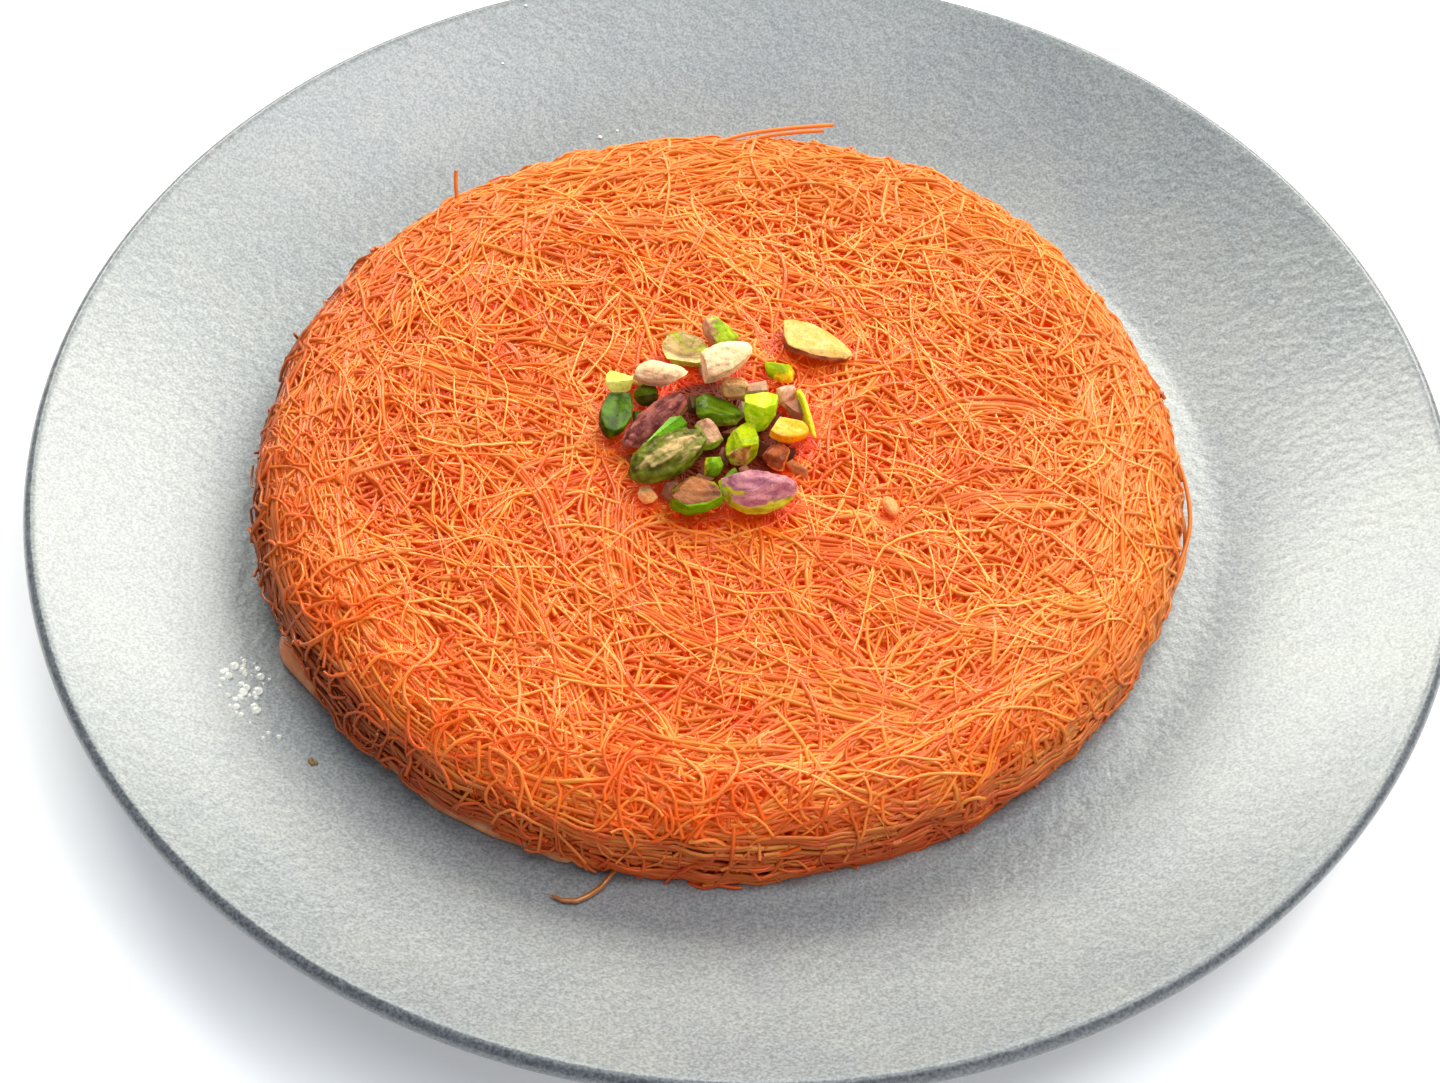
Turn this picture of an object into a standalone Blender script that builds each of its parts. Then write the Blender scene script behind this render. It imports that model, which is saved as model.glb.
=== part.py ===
"""A round cheese kunafa on a shallow stoneware plate, with chopped pistachios on top.

Metres, +Z up. The origin is the centre of the plate's foot, on the table. +X is to the right and +Y is
away from the side that the kunafa is served to.
"""

import math
import random

import bmesh
import bpy
from mathutils import Euler, Matrix, Vector, noise
from mathutils.bvhtree import BVHTree

MM = 0.001
GAP = 0.3 * MM

# Plate: a coupe, with a flat middle that curves up to the rim without a shoulder
PLATE_RADIUS = 125.0 * MM
PLATE_HEIGHT = 22.0 * MM
FLOOR_Z = 6.0 * MM
FLOOR_RADIUS = 85.0 * MM
LIP_ROUND = 1.8 * MM
CREST_RADIUS = PLATE_RADIUS - LIP_ROUND
PLATE_THICKNESS = 4.4 * MM
RISE_POWER = 1.5
RISE_STEPS = 7
FOOT_INNER, FOOT_OUTER = 66.0 * MM, 73.5 * MM
FOOT_FLARE = 2.0 * MM
PLATE_SEGMENTS = 48

# Kunafa: a low round cake with soft edges
CAKE_CENTRE = Vector((-3.8 * MM, -1.6 * MM, 0.0))
CAKE_RADIUS = 80.6 * MM
CAKE_HEIGHT = 17.0 * MM
EDGE_INSET = 9.0 * MM
EDGE_HALF_HEIGHT = 10.4 * MM
FOOT_ANGLE = math.radians(-37.0)
FOOT_SLUMP = 1.6 * MM
CAKE_SEGMENTS = 60
CRUST_SHARP = 35.0
RELIEF = 0.55 * MM
RELIEF_LENGTH = 9.0 * MM
# Each pair is the cosine and sine part of how far the outline leaves a circle, by how often it repeats
OUTLINE_WAVES = {2: (0.9 * MM, 0.4 * MM), 3: (-0.45 * MM, 0.05 * MM), 4: (-0.15 * MM, -0.25 * MM)}

# Cheese: it runs under the crust and shows at the foot on the near left
CHEESE_THICKNESS = 3.8 * MM
CHEESE_EDGE = 1.9 * MM
CHEESE_INSET = 6.5 * MM
CHEESE_SHOWN_INSET = 0.7 * MM
CHEESE_SHOWN_FROM, CHEESE_SHOWN_TO = math.radians(-162.0), math.radians(-98.0)
CHEESE_BLEND = math.radians(9.0)

# Crust: pastry strands fused on at true size, and ridges where many lie side by side
STRAND_WIDTH = 0.95 * MM
STRAND_HEIGHT = 0.65 * MM
BUNDLE_WIDTH = 2.6 * MM
BUNDLE_HEIGHT = 0.85 * MM
STRAND_SUNK = 0.32 * MM
END_HEIGHT_SHARE = 0.45
BUNDLE_TOP_SHARE = 0.45
STRAND_COUNT = 92
BUNDLE_EVERY = 4
GOLDEN_ANGLE = math.pi * (3.0 - math.sqrt(5.0))
STRAND_REACH = 9.0 * MM
NUT_CLEARING, CRUMB_CLEARING = 27.0 * MM, 7.0 * MM

# Pistachios: kernels, halves and chopped bits. Size is length, width and height, place is from the cake's
# centre, and turn is yaw, pitch and roll. Cuts are flat faces, each a direction and how far out it lies
# as a share of the half size. They are listed from the lowest of the heap to the highest.
NUTS = (
    ("nut_skin_chip", "nut_skin", (6.6, 5.0, 4.4), (-2.6, -3.6), (30, 0, 0), ("end", "tail")),
    ("nut_crumb_tan", "nut_cream", (4.2, 3.0, 2.4), (-12.6, -16.6), (20, 0, 0), ("end",)),
    ("nut_under_left", "nut_green", (5.4, 3.8, 3.4), (-13.4, 5.4), (20, 0, 0), ("end",)),
    ("nut_left_tip", "nut_lime", (5.8, 4.4, 4.0), (-18.4, 8.4), (35, 0, 0), ("top", "end")),
    ("nut_left_green", "nut_green", (11.2, 4.8, 6.0), (-18.8, 0.2), (80, 0, 14), ("top",)),
    ("nut_mauve", "nut_skin", (16.6, 6.2, 5.8), (-11.6, -1.8), (52, 0, 0), ()),
    ("nut_dark_bit", "nut_green", (4.6, 3.2, 4.0), (-1.6, -10.2), (60, 10, 0), ("end",)),
    ("nut_big_green", "nut_green", (15.4, 7.2, 6.6), (-9.2, -11.2), (41, 0, 0), ()),
    ("nut_cup", "nut_green", (10.0, 6.4, 4.6), (-7.7, 15.8), (-14, 0, 8), ("top",)),
    ("nut_back_green", "nut_green", (8.0, 6.2, 6.5), (-1.4, 19.2), (48, -18, 0), ("end", "tail")),
    ("nut_middle_half", "nut_green", (9.8, 5.4, 5.0), (-1.2, 1.9), (-24, 0, -24), ("top",)),
    ("nut_back_brown", "nut_brown", (6.0, 4.6, 3.8), (2.2, 6.2), (10, 0, 0), ("end",)),
    ("nut_purple_back", "nut_skin", (5.0, 4.0, 4.0), (11.0, 6.2), (-60, 0, 0), ("end",)),
    ("nut_small_green", "nut_lime", (7.2, 3.8, 3.2), (10.0, 12.2), (-20, 0, 0), ("end",)),
    ("nut_lime_block", "nut_lime", (11.6, 5.0, 8.4), (6.4, 2.4), (80, 10, 0), ("top", "end", "tail")),
    ("nut_brown_flake", "nut_brown", (7.0, 4.6, 3.2), (9.6, -7.6), (-35, 0, 0), ("end", "tail")),
    ("nut_yellow", "nut_yellow", (7.4, 4.6, 5.0), (11.0, -3.4), (-14, 0, 0), ("top", "tail")),
    ("nut_sliver_right", "nut_lime", (11.4, 2.6, 4.4), (14.4, 0.6), (-74, 0, 0), ("left", "right")),
    ("nut_wedge", "nut_lime", (9.8, 5.0, 6.8), (3.3, -6.2), (84, 12, 0), ("top", "tail")),
    ("nut_block_front", "nut_lime", (13.0, 8.4, 8.4), (-4.4, -17.4), (6, 0, 0), ("top", "end", "tail", "left")),
    ("nut_purple_front", "nut_skin", (12.8, 8.2, 8.2), (6.2, -16.6), (-4, 0, 14), ("left",)),
    ("nut_tan", "nut_cream", (11.4, 4.8, 4.2), (-12.0, 7.2), (-12, 0, 0), ("tail",)),
    ("nut_pale", "nut_cream", (13.6, 6.0, 5.8), (-1.8, 9.6), (26, -4, 10), ("tail",)),
    ("nut_slice", "nut_cream", (15.4, 7.4, 5.0), (15.0, 20.0), (-21, 0, -12), ("top", "bottom")),
    ("nut_crumb_pale", "nut_cream", (4.2, 2.2, 1.8), (29.0, -17.0), (-66, 0, 0), ()),
)
CUTS = {
    "top": (Vector((0.05, 0.0, 1.0)), 0.30),
    "bottom": (Vector((0.0, 0.0, -1.0)), 0.25),
    "end": (Vector((1.0, 0.25, 0.15)), 0.50),
    "tail": (Vector((-1.0, 0.2, 0.1)), 0.55),
    "left": (Vector((0.0, 1.0, 0.1)), 0.35),
    "right": (Vector((0.0, -1.0, 0.0)), 0.40),
}
NUT_AROUND, NUT_ALONG = 10, 7

# A pastry strand that fell on the plate, in front of the kunafa
LOOSE_STRAND = (
    (-19.0, -82.6), (-20.6, -84.4), (-22.2, -86.0), (-23.8, -87.2), (-25.2, -87.6), (-26.6, -87.2),
    (-28.0, -86.4),
)
LOOSE_STRAND_RADIUS = 0.5 * MM

COLOURS = {
    "plate_glaze": ((0.50, 0.51, 0.50), 0.45),
    "crust": ((0.88, 0.19, 0.035), 0.35),
    "cheese": ((0.66, 0.36, 0.17), 0.40),
    "strand_dark": ((0.40, 0.13, 0.03), 0.40),
    "nut_green": ((0.16, 0.32, 0.03), 0.45),
    "nut_lime": ((0.42, 0.56, 0.05), 0.45),
    "nut_yellow": ((0.85, 0.60, 0.04), 0.35),
    "nut_cream": ((0.72, 0.56, 0.32), 0.50),
    "nut_skin": ((0.26, 0.12, 0.13), 0.35),
    "nut_brown": ((0.20, 0.10, 0.06), 0.50),
}


def clear_scene():
    for piece in list(bpy.data.objects):
        bpy.data.objects.remove(piece, do_unlink=True)


def material(name):
    """The Principled material of this name, made once."""
    found = bpy.data.materials.get(name)
    if found:
        return found
    colour, roughness = COLOURS[name]
    made = bpy.data.materials.new(name)
    made.use_nodes = True
    shader = made.node_tree.nodes["Principled BSDF"]
    shader.inputs["Base Color"].default_value = (*colour, 1.0)
    shader.inputs["Roughness"].default_value = roughness
    shader.inputs["Metallic"].default_value = 0.0
    return made


def add_object(name, bm, slot, smooth_under=40.0):
    """Turns the mesh into a named object with its material, shaded smooth except at sharp edges."""
    bmesh.ops.recalc_face_normals(bm, faces=bm.faces)
    mesh = bpy.data.meshes.new(name)
    bm.to_mesh(mesh)
    bm.free()
    mesh.materials.append(material(slot))
    mesh.shade_smooth()
    mesh.set_sharp_from_angle(angle=math.radians(smooth_under))
    piece = bpy.data.objects.new(name, mesh)
    bpy.context.scene.collection.objects.link(piece)
    return piece


def plate_top(r):
    """Height of the plate's upper face at this distance from its centre."""
    if r <= FLOOR_RADIUS:
        return FLOOR_Z
    share = (r - FLOOR_RADIUS) / (CREST_RADIUS - FLOOR_RADIUS)
    return FLOOR_Z + (PLATE_HEIGHT - FLOOR_Z) * share**RISE_POWER


def plate_profile():
    """Points (r, z) from the middle of the upper face round the lip to the middle of the underside."""
    step = (CREST_RADIUS - FLOOR_RADIUS) / RISE_STEPS
    rise = [FLOOR_RADIUS + step * i for i in range(RISE_STEPS + 1)]
    upper = [(0.0, FLOOR_Z), (FLOOR_RADIUS / 2, FLOOR_Z)] + [(r, plate_top(r)) for r in rise]
    lip = []
    for degrees in (50, 12, -30, -72):
        angle = math.radians(degrees)
        across, up = LIP_ROUND * math.cos(angle), LIP_ROUND * math.sin(angle)
        lip.append((CREST_RADIUS + across, PLATE_HEIGHT - LIP_ROUND + up))
    under = [(r, plate_top(r) - PLATE_THICKNESS) for r in reversed(rise[1:-1:2])]
    base = FLOOR_Z - PLATE_THICKNESS
    foot = [(FOOT_OUTER + FOOT_FLARE, base), (FOOT_OUTER, 0.0), (FOOT_INNER, 0.0)]
    return upper + lip + under + foot + [(FOOT_INNER - FOOT_FLARE, base), (0.0, base)]


def make_plate():
    """Turns the plate's profile once round the Z axis."""
    bm = bmesh.new()
    line = [bm.verts.new((r, 0.0, z)) for r, z in plate_profile()]
    edges = [bm.edges.new(pair) for pair in zip(line, line[1:])]
    bmesh.ops.spin(
        bm, geom=line + edges, cent=(0, 0, 0), axis=(0, 0, 1), angle=math.tau,
        steps=PLATE_SEGMENTS, use_merge=True,
    )
    bmesh.ops.remove_doubles(bm, verts=bm.verts, dist=0.01 * MM)
    return add_object("plate", bm, "plate_glaze", 50.0)


def outline(theta):
    """The cake's largest radius in this direction."""
    waves = sum(
        a * math.cos(n * theta) + b * math.sin(n * theta) for n, (a, b) in OUTLINE_WAVES.items()
    )
    return CAKE_RADIUS + waves


def edge_point(theta, angle, outset=0.0):
    """A point of the soft edge: angle 90 degrees is where the top ends, and FOOT_ANGLE is the foot.

    The near side has slumped outwards at its foot.
    """
    slump = FOOT_SLUMP * max(0.0, -math.sin(theta)) * max(0.0, angle / FOOT_ANGLE)
    r = outline(theta) - EDGE_INSET + (EDGE_INSET + outset) * math.cos(angle) + slump
    z = CAKE_HEIGHT - EDGE_HALF_HEIGHT + (EDGE_HALF_HEIGHT + outset) * math.sin(angle)
    return r, FLOOR_Z + z


def unrolled_to_edge(u, theta):
    """None on the flat top, or else the edge angle at this distance from the centre, along the crust."""
    past = u - (outline(theta) - EDGE_INSET)
    if past <= 0:
        return None
    return max(math.pi / 2 - past / ((EDGE_INSET + EDGE_HALF_HEIGHT) / 2), FOOT_ANGLE)


def relief(x, y, z):
    """How far the uneven crust stands out here."""
    spot = Vector((x, y, z)) / RELIEF_LENGTH
    return RELIEF * (noise.noise(spot) + 0.5 * noise.noise(spot * 2.3))


def crust_ring(u, bm):
    """One ring of the crust's mesh, at this distance from the centre along the crust."""
    ring = []
    for i in range(CAKE_SEGMENTS):
        theta = math.tau * i / CAKE_SEGMENTS
        angle = unrolled_to_edge(u, theta)
        if angle is None:
            r, z = u, FLOOR_Z + CAKE_HEIGHT
            z += relief(r * math.cos(theta), r * math.sin(theta), z)
        else:
            r, z = edge_point(theta, angle)
            out = relief(r * math.cos(theta), r * math.sin(theta), z)
            r, z = edge_point(theta, angle, out)
        ring.append(bm.verts.new(CAKE_CENTRE + Vector((r * math.cos(theta), r * math.sin(theta), z))))
    return ring


def bridge(bm, inner, outer):
    for i in range(len(inner)):
        j = (i + 1) % len(inner)
        bm.faces.new((inner[i], outer[i], outer[j], inner[j]))


def cap(bm, ring, z):
    """Closes a ring with a fan to its middle."""
    middle = bm.verts.new((CAKE_CENTRE.x, CAKE_CENTRE.y, z))
    for i in range(len(ring)):
        bm.faces.new((middle, ring[i], ring[(i + 1) % len(ring)]))


def crust_core():
    """The bare crust: its top, soft edge and flat base."""
    bm = bmesh.new()
    flat_end = CAKE_RADIUS - EDGE_INSET
    rings = [crust_ring(flat_end * share, bm) for share in (0.14, 0.3, 0.46, 0.62, 0.78, 0.92)]
    per_degree = math.radians(1.0) * (EDGE_INSET + EDGE_HALF_HEIGHT) / 2
    for degrees in (10, 28, 46, 64, 84, 105):
        rings.append(crust_ring(flat_end + degrees * per_degree, bm))
    foot = []
    for i in range(CAKE_SEGMENTS):
        theta = math.tau * i / CAKE_SEGMENTS
        r = edge_point(theta, FOOT_ANGLE)[0]
        foot.append(
            bm.verts.new(CAKE_CENTRE + Vector((r * math.cos(theta), r * math.sin(theta), FLOOR_Z + GAP)))
        )
    rings.append(foot)
    for inner, outer in zip(rings, rings[1:]):
        bridge(bm, inner, outer)
    cap(bm, rings[0], FLOOR_Z + CAKE_HEIGHT)
    cap(bm, foot, FLOOR_Z + GAP)
    bmesh.ops.triangulate(bm, faces=bm.faces)
    return add_object("kunafa_crust", bm, "crust", 60.0)


def on_crust(tree, x, y):
    """The point and outward normal of the bare crust at (x, y) of its unrolled disc."""
    u, theta = math.hypot(x, y), math.atan2(y, x)
    angle = unrolled_to_edge(u, theta)
    if angle is None:
        start = Vector((x, y, FLOOR_Z + CAKE_HEIGHT + 5 * MM))
        inward = Vector((0.0, 0.0, -1.0))
    else:
        r, z = edge_point(theta, angle, 5 * MM)
        start = Vector((r * math.cos(theta), r * math.sin(theta), z))
        across = math.cos(angle) / EDGE_INSET
        up = math.sin(angle) / EDGE_HALF_HEIGHT
        inward = -Vector((across * math.cos(theta), across * math.sin(theta), up)).normalized()
    hit = tree.ray_cast(CAKE_CENTRE + start, inward)[0]
    return hit, -inward


def ridge_object(name, spots, width, height):
    """A closed strip along the crust whose base is sunk in it, wide at the foot and narrow on top."""
    bm = bmesh.new()
    rows = []
    for i, (point, normal) in enumerate(spots):
        before, after = spots[max(i - 1, 0)][0], spots[min(i + 1, len(spots) - 1)][0]
        side = (after - before).cross(normal).normalized()
        share = END_HEIGHT_SHARE if i in (0, len(spots) - 1) else 1.0
        low = point - normal * STRAND_SUNK
        high = point + normal * height * share
        half = side * width / 2
        crown = half * BUNDLE_TOP_SHARE
        if width > STRAND_WIDTH:
            corners = (low - half, low + half, high + crown, high - crown)
        else:
            corners = (low - half, low + half, high)
        rows.append([bm.verts.new(corner) for corner in corners])
    for before, after in zip(rows, rows[1:]):
        bridge(bm, before, after)
    bm.faces.new(rows[0])
    bm.faces.new(rows[-1])
    return add_object(name, bm, "crust")


def strand_route(number):
    """Centre, heading, bend and length of one fused strand, spread evenly over the unrolled crust."""
    rng = random.Random(300 + number)
    reach = CAKE_RADIUS + STRAND_REACH
    u = reach * math.sqrt((number + 0.5) / STRAND_COUNT)
    theta = number * GOLDEN_ANGLE
    if u > CAKE_RADIUS - EDGE_INSET:
        heading = theta + math.pi / 2 + rng.uniform(-0.35, 0.35)
        bend = 1.0 / CAKE_RADIUS
    else:
        heading = rng.uniform(0.0, math.pi)
        bend = rng.uniform(-1.0, 1.0) / (30 * MM)
    bundle = number % BUNDLE_EVERY == 0
    length = rng.uniform(26, 40) * MM if bundle else rng.uniform(16, 26) * MM
    return u, theta, heading, bend, length, bundle


def strand_spots(tree, number):
    """Points of one fused strand on the crust, or None where it would reach the nuts or the foot."""
    u, theta, heading, bend, length, bundle = strand_route(number)
    limit = CAKE_RADIUS + STRAND_REACH
    crumb_x, crumb_y = (side * MM for side in NUTS[-1][3])
    steps = 6 if bundle else 5
    spots = []
    for i in range(steps + 1):
        along = length * (i / steps - 0.5)
        way = heading + bend * along / 2
        x = u * math.cos(theta) + along * math.cos(way)
        y = u * math.sin(theta) + along * math.sin(way)
        distance = math.hypot(x, y)
        if distance > limit:
            x, y = x * limit / distance, y * limit / distance
        near_nuts = distance < NUT_CLEARING
        near_crumb = math.hypot(x - crumb_x, y - crumb_y) < CRUMB_CLEARING
        if near_nuts or near_crumb:
            return None, bundle
        spots.append(on_crust(tree, x, y))
    return spots, bundle


def stray_ends():
    """Strand ends that stand clear of the cake: at the near foot, at the far edge and at the back left."""
    near = [(12.0, -78.4, 8.4), (7.0, -80.6, 7.2), (1.6, -82.0, 7.0), (-4.4, -83.2, 6.9)]
    far = [(-8.0, 71.4, 22.6), (-2.0, 73.6, 23.3), (6.0, 75.2, 23.8), (15.4, 76.6, 24.0)]
    left = [(-55.0, 50.4, 19.6), (-56.0, 52.6, 22.6), (-56.4, 54.8, 25.0), (-56.4, 56.6, 27.0)]
    return {"near": near, "far": far, "left": left}


def stray_object(name, places):
    """A round-ended strand of four sides through these places, the first of them inside the crust."""
    bm = bmesh.new()
    points = [Vector(place) * MM for place in places]
    rows = []
    for i, point in enumerate(points):
        way = (points[min(i + 1, len(points) - 1)] - points[max(i - 1, 0)]).normalized()
        side = way.cross(Vector((0.0, 0.0, 1.0)))
        side = side.normalized() if side.length > 0.1 else Vector((1.0, 0.0, 0.0))
        up = side.cross(way)
        r = STRAND_WIDTH / 2 * (0.6 if i == len(points) - 1 else 1.0)
        rows.append([bm.verts.new(point + r * d) for d in (side, up, -side, -up)])
    for before, after in zip(rows, rows[1:]):
        bridge(bm, before, after)
    bm.faces.new(rows[0])
    bm.faces.new(rows[-1])
    return add_object(name, bm, "crust")


def tree_of(piece):
    """A ray-casting tree of the object's mesh in world space."""
    bpy.context.view_layer.update()
    points = [piece.matrix_world @ v.co for v in piece.data.vertices]
    return BVHTree.FromPolygons(points, [tuple(p.vertices) for p in piece.data.polygons])


def apply_boolean(piece, operation, collection=None, cutter=None):
    """Applies one exact Boolean to the object and takes the modifier off again."""
    modifier = piece.modifiers.new("fuse", "BOOLEAN")
    modifier.operation = operation
    modifier.solver = "EXACT"
    if collection:
        modifier.operand_type = "COLLECTION"
        modifier.collection = collection
    else:
        modifier.object = cutter
    bpy.context.view_layer.update()
    graph = bpy.context.evaluated_depsgraph_get()
    mesh = bpy.data.meshes.new_from_object(piece.evaluated_get(graph))
    mesh.shade_smooth()
    mesh.set_sharp_from_angle(angle=math.radians(CRUST_SHARP))
    piece.modifiers.clear()
    piece.data = mesh


def fuse_strands(crust, tree):
    """Joins the strands, the bundles and the stray ends to the crust."""
    collection = bpy.data.collections.new("strands")
    bpy.context.scene.collection.children.link(collection)
    strands = []
    for number in range(STRAND_COUNT):
        spots, bundle = strand_spots(tree, number)
        if spots:
            width, height = (BUNDLE_WIDTH, BUNDLE_HEIGHT) if bundle else (STRAND_WIDTH, STRAND_HEIGHT)
            strands.append(ridge_object(f"strand_{number}", spots, width, height))
    for name, places in stray_ends().items():
        strands.append(stray_object(f"stray_{name}", places))
    for strand in strands:
        bpy.context.scene.collection.objects.unlink(strand)
        collection.objects.link(strand)
    apply_boolean(crust, "UNION", collection=collection)
    for strand in strands:
        bpy.data.objects.remove(strand, do_unlink=True)
    bpy.data.collections.remove(collection)


def cheese_shown(theta):
    """1 where the cheese shows at the foot, 0 where the crust covers it, and a smooth change between."""
    theta = math.atan2(math.sin(theta), math.cos(theta))
    rise = (theta - CHEESE_SHOWN_FROM) / CHEESE_BLEND
    fall = (CHEESE_SHOWN_TO - theta) / CHEESE_BLEND
    share = max(0.0, min(1.0, rise, fall))
    return share * share * (3.0 - 2.0 * share)


def cheese_mesh(grow, bottom):
    """The cheese as a flat disc that thins where it shows, or a larger copy of it to cut with."""
    bm = bmesh.new()
    rings = []
    for share, thinned in ((0.25, 0.0), (0.9, 0.0), (1.0, 1.0)):
        ring = []
        for i in range(CAKE_SEGMENTS):
            theta = math.tau * (i + 0.5) / CAKE_SEGMENTS
            shown = cheese_shown(theta)
            inset = CHEESE_INSET + (CHEESE_SHOWN_INSET - CHEESE_INSET) * shown
            r = (outline(theta) - inset) * share + grow
            thick = CHEESE_THICKNESS + (CHEESE_EDGE - CHEESE_THICKNESS) * shown * thinned
            z = FLOOR_Z + GAP + thick + grow
            ring.append(bm.verts.new(CAKE_CENTRE + Vector((r * math.cos(theta), r * math.sin(theta), z))))
        rings.append(ring)
    base = [bm.verts.new((v.co.x, v.co.y, bottom)) for v in rings[-1]]
    rings.append(base)
    for inner, outer in zip(rings, rings[1:]):
        bridge(bm, inner, outer)
    cap(bm, rings[0], FLOOR_Z + GAP + CHEESE_THICKNESS + grow)
    cap(bm, base, bottom)
    bmesh.ops.triangulate(bm, faces=bm.faces)
    return bm


def make_kunafa():
    """The cheese layer, and the crust over it with its fused strands. Returns the bare crust's tree."""
    crust = crust_core()
    bare = tree_of(crust)
    fuse_strands(crust, bare)
    cutter = add_object("cheese_room", cheese_mesh(GAP, FLOOR_Z - 1 * MM), "cheese")
    apply_boolean(crust, "DIFFERENCE", cutter=cutter)
    bpy.data.objects.remove(cutter, do_unlink=True)
    crust.data.materials.clear()
    crust.data.materials.append(material("crust"))
    add_object("cheese_layer", cheese_mesh(0.0, FLOOR_Z + GAP), "cheese")
    return bare


def nut_mesh(size, cuts):
    """A pistachio kernel along X, blunt at one end and pointed at the other, with its flat cuts."""
    length, width, height = (side * MM for side in size)
    bm = bmesh.new()
    bmesh.ops.create_uvsphere(bm, u_segments=NUT_AROUND, v_segments=NUT_ALONG, radius=1.0)
    for v in bm.verts:
        along, side, up = v.co.z, v.co.x, v.co.y
        belly = (1.0 - 0.16 * along) * (1.0 + 0.12 * (1.0 - along * along))
        v.co = Vector((along * length, side * width * belly, up * height * belly)) / 2
    for cut in cuts:
        direction, share = CUTS[cut]
        reach = Vector((direction.x * length, direction.y * width, direction.z * height)) / 2
        geometry = bm.verts[:] + bm.edges[:] + bm.faces[:]
        bmesh.ops.bisect_plane(
            bm, geom=geometry, plane_co=reach * share, plane_no=direction, clear_outer=True,
            dist=0.001 * MM,
        )
        open_edges = [edge for edge in bm.edges if edge.is_boundary]
        bmesh.ops.edgeloop_fill(bm, edges=open_edges)
    bmesh.ops.triangulate(bm, faces=bm.faces)
    return bm


def lowest_gap(tree, support, box_low, box_high):
    """The least height between the piece and what lies under it, tried on a fine grid with its neighbours."""
    step = 0.3 * MM
    across = int((box_high.x - box_low.x) / step) + 2
    deep = int((box_high.y - box_low.y) / step) + 2
    under = {}
    for i in range(across):
        for j in range(deep):
            x, y = box_low.x + i * step, box_low.y + j * step
            hit = tree.ray_cast(Vector((x, y, box_low.z - 1 * MM)), Vector((0, 0, 1)))[0]
            if hit:
                for near in ((i, j), (i + 1, j), (i - 1, j), (i, j + 1), (i, j - 1)):
                    under[near] = min(under.get(near, hit.z), hit.z)
    least = math.inf
    for (i, j), z in under.items():
        x, y = box_low.x + i * step, box_low.y + j * step
        hit = support.ray_cast(Vector((x, y, box_high.z + 1 * MM)), Vector((0, 0, -1)))[0]
        if hit:
            least = min(least, z - hit.z)
    return least


def drop_piece(piece, support):
    """Lowers the piece until it lies just clear of what is under it."""
    tree = tree_of(piece)
    points = [piece.matrix_world @ v.co for v in piece.data.vertices]
    low = Vector([min(p[axis] for p in points) for axis in range(3)])
    high = Vector([max(p[axis] for p in points) for axis in range(3)])
    piece.location.z -= lowest_gap(tree, support, low, high) - GAP
    bpy.context.view_layer.update()


class Support:
    """What a falling piece can land on: the bare crust and the pieces already down."""

    def __init__(self, bare):
        self.trees = [bare]

    def add(self, piece):
        self.trees.append(tree_of(piece))

    def ray_cast(self, start, way):
        hits = [hit for tree in self.trees if (hit := tree.ray_cast(start, way)[0])]
        return [max(hits, key=lambda hit: hit.z) if hits else None]


def make_nuts(bare):
    """Each bit of pistachio in turn falls from above onto the crust and the bits under it."""
    support = Support(bare)
    drop_from = FLOOR_Z + CAKE_HEIGHT + 40 * MM
    for name, slot, size, place, turn, cuts in NUTS:
        piece = add_object(name, nut_mesh(size, cuts), slot, 35.0)
        yaw, pitch, roll = (math.radians(angle) for angle in turn)
        spin = Euler((roll, pitch, yaw), "XYZ").to_matrix().to_4x4()
        spot = CAKE_CENTRE + Vector((place[0] * MM, place[1] * MM, drop_from))
        piece.matrix_world = Matrix.Translation(spot) @ spin
        bpy.context.view_layer.update()
        drop_piece(piece, support)
        support.add(piece)


def make_loose_strand():
    """The strand on the plate: a thin tube just clear of the rising glaze."""
    curve = bpy.data.curves.new("loose_strand", "CURVE")
    curve.dimensions = "3D"
    curve.bevel_depth = LOOSE_STRAND_RADIUS
    curve.bevel_resolution = 1
    curve.use_fill_caps = True
    curve.materials.append(material("strand_dark"))
    spline = curve.splines.new("POLY")
    spline.points.add(len(LOOSE_STRAND) - 1)
    for point, (x, y) in zip(spline.points, LOOSE_STRAND):
        r = math.hypot(x, y) * MM
        z = plate_top(r + LOOSE_STRAND_RADIUS) + GAP + LOOSE_STRAND_RADIUS
        point.co = (x * MM, y * MM, z, 1.0)
    strand = bpy.data.objects.new("loose_strand", curve)
    bpy.context.scene.collection.objects.link(strand)


def main():
    clear_scene()
    make_plate()
    bare = make_kunafa()
    make_nuts(bare)
    make_loose_strand()


main()
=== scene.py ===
# %% [markdown]
# # A cheese kunafa on a stoneware plate
# The kunafa is a low round cake of shredded pastry strands, soaked in syrup, over a layer of cheese.
# Chopped pistachios lie on its middle. The solid model gives every size and place. This script gives
# the looks: thousands of strands, the speckled glaze, the skins of the nuts and the light.

# %% Load the frame
import math

import bmesh
import bpy
import numpy as np
from mathutils import Matrix, Vector, noise


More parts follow.
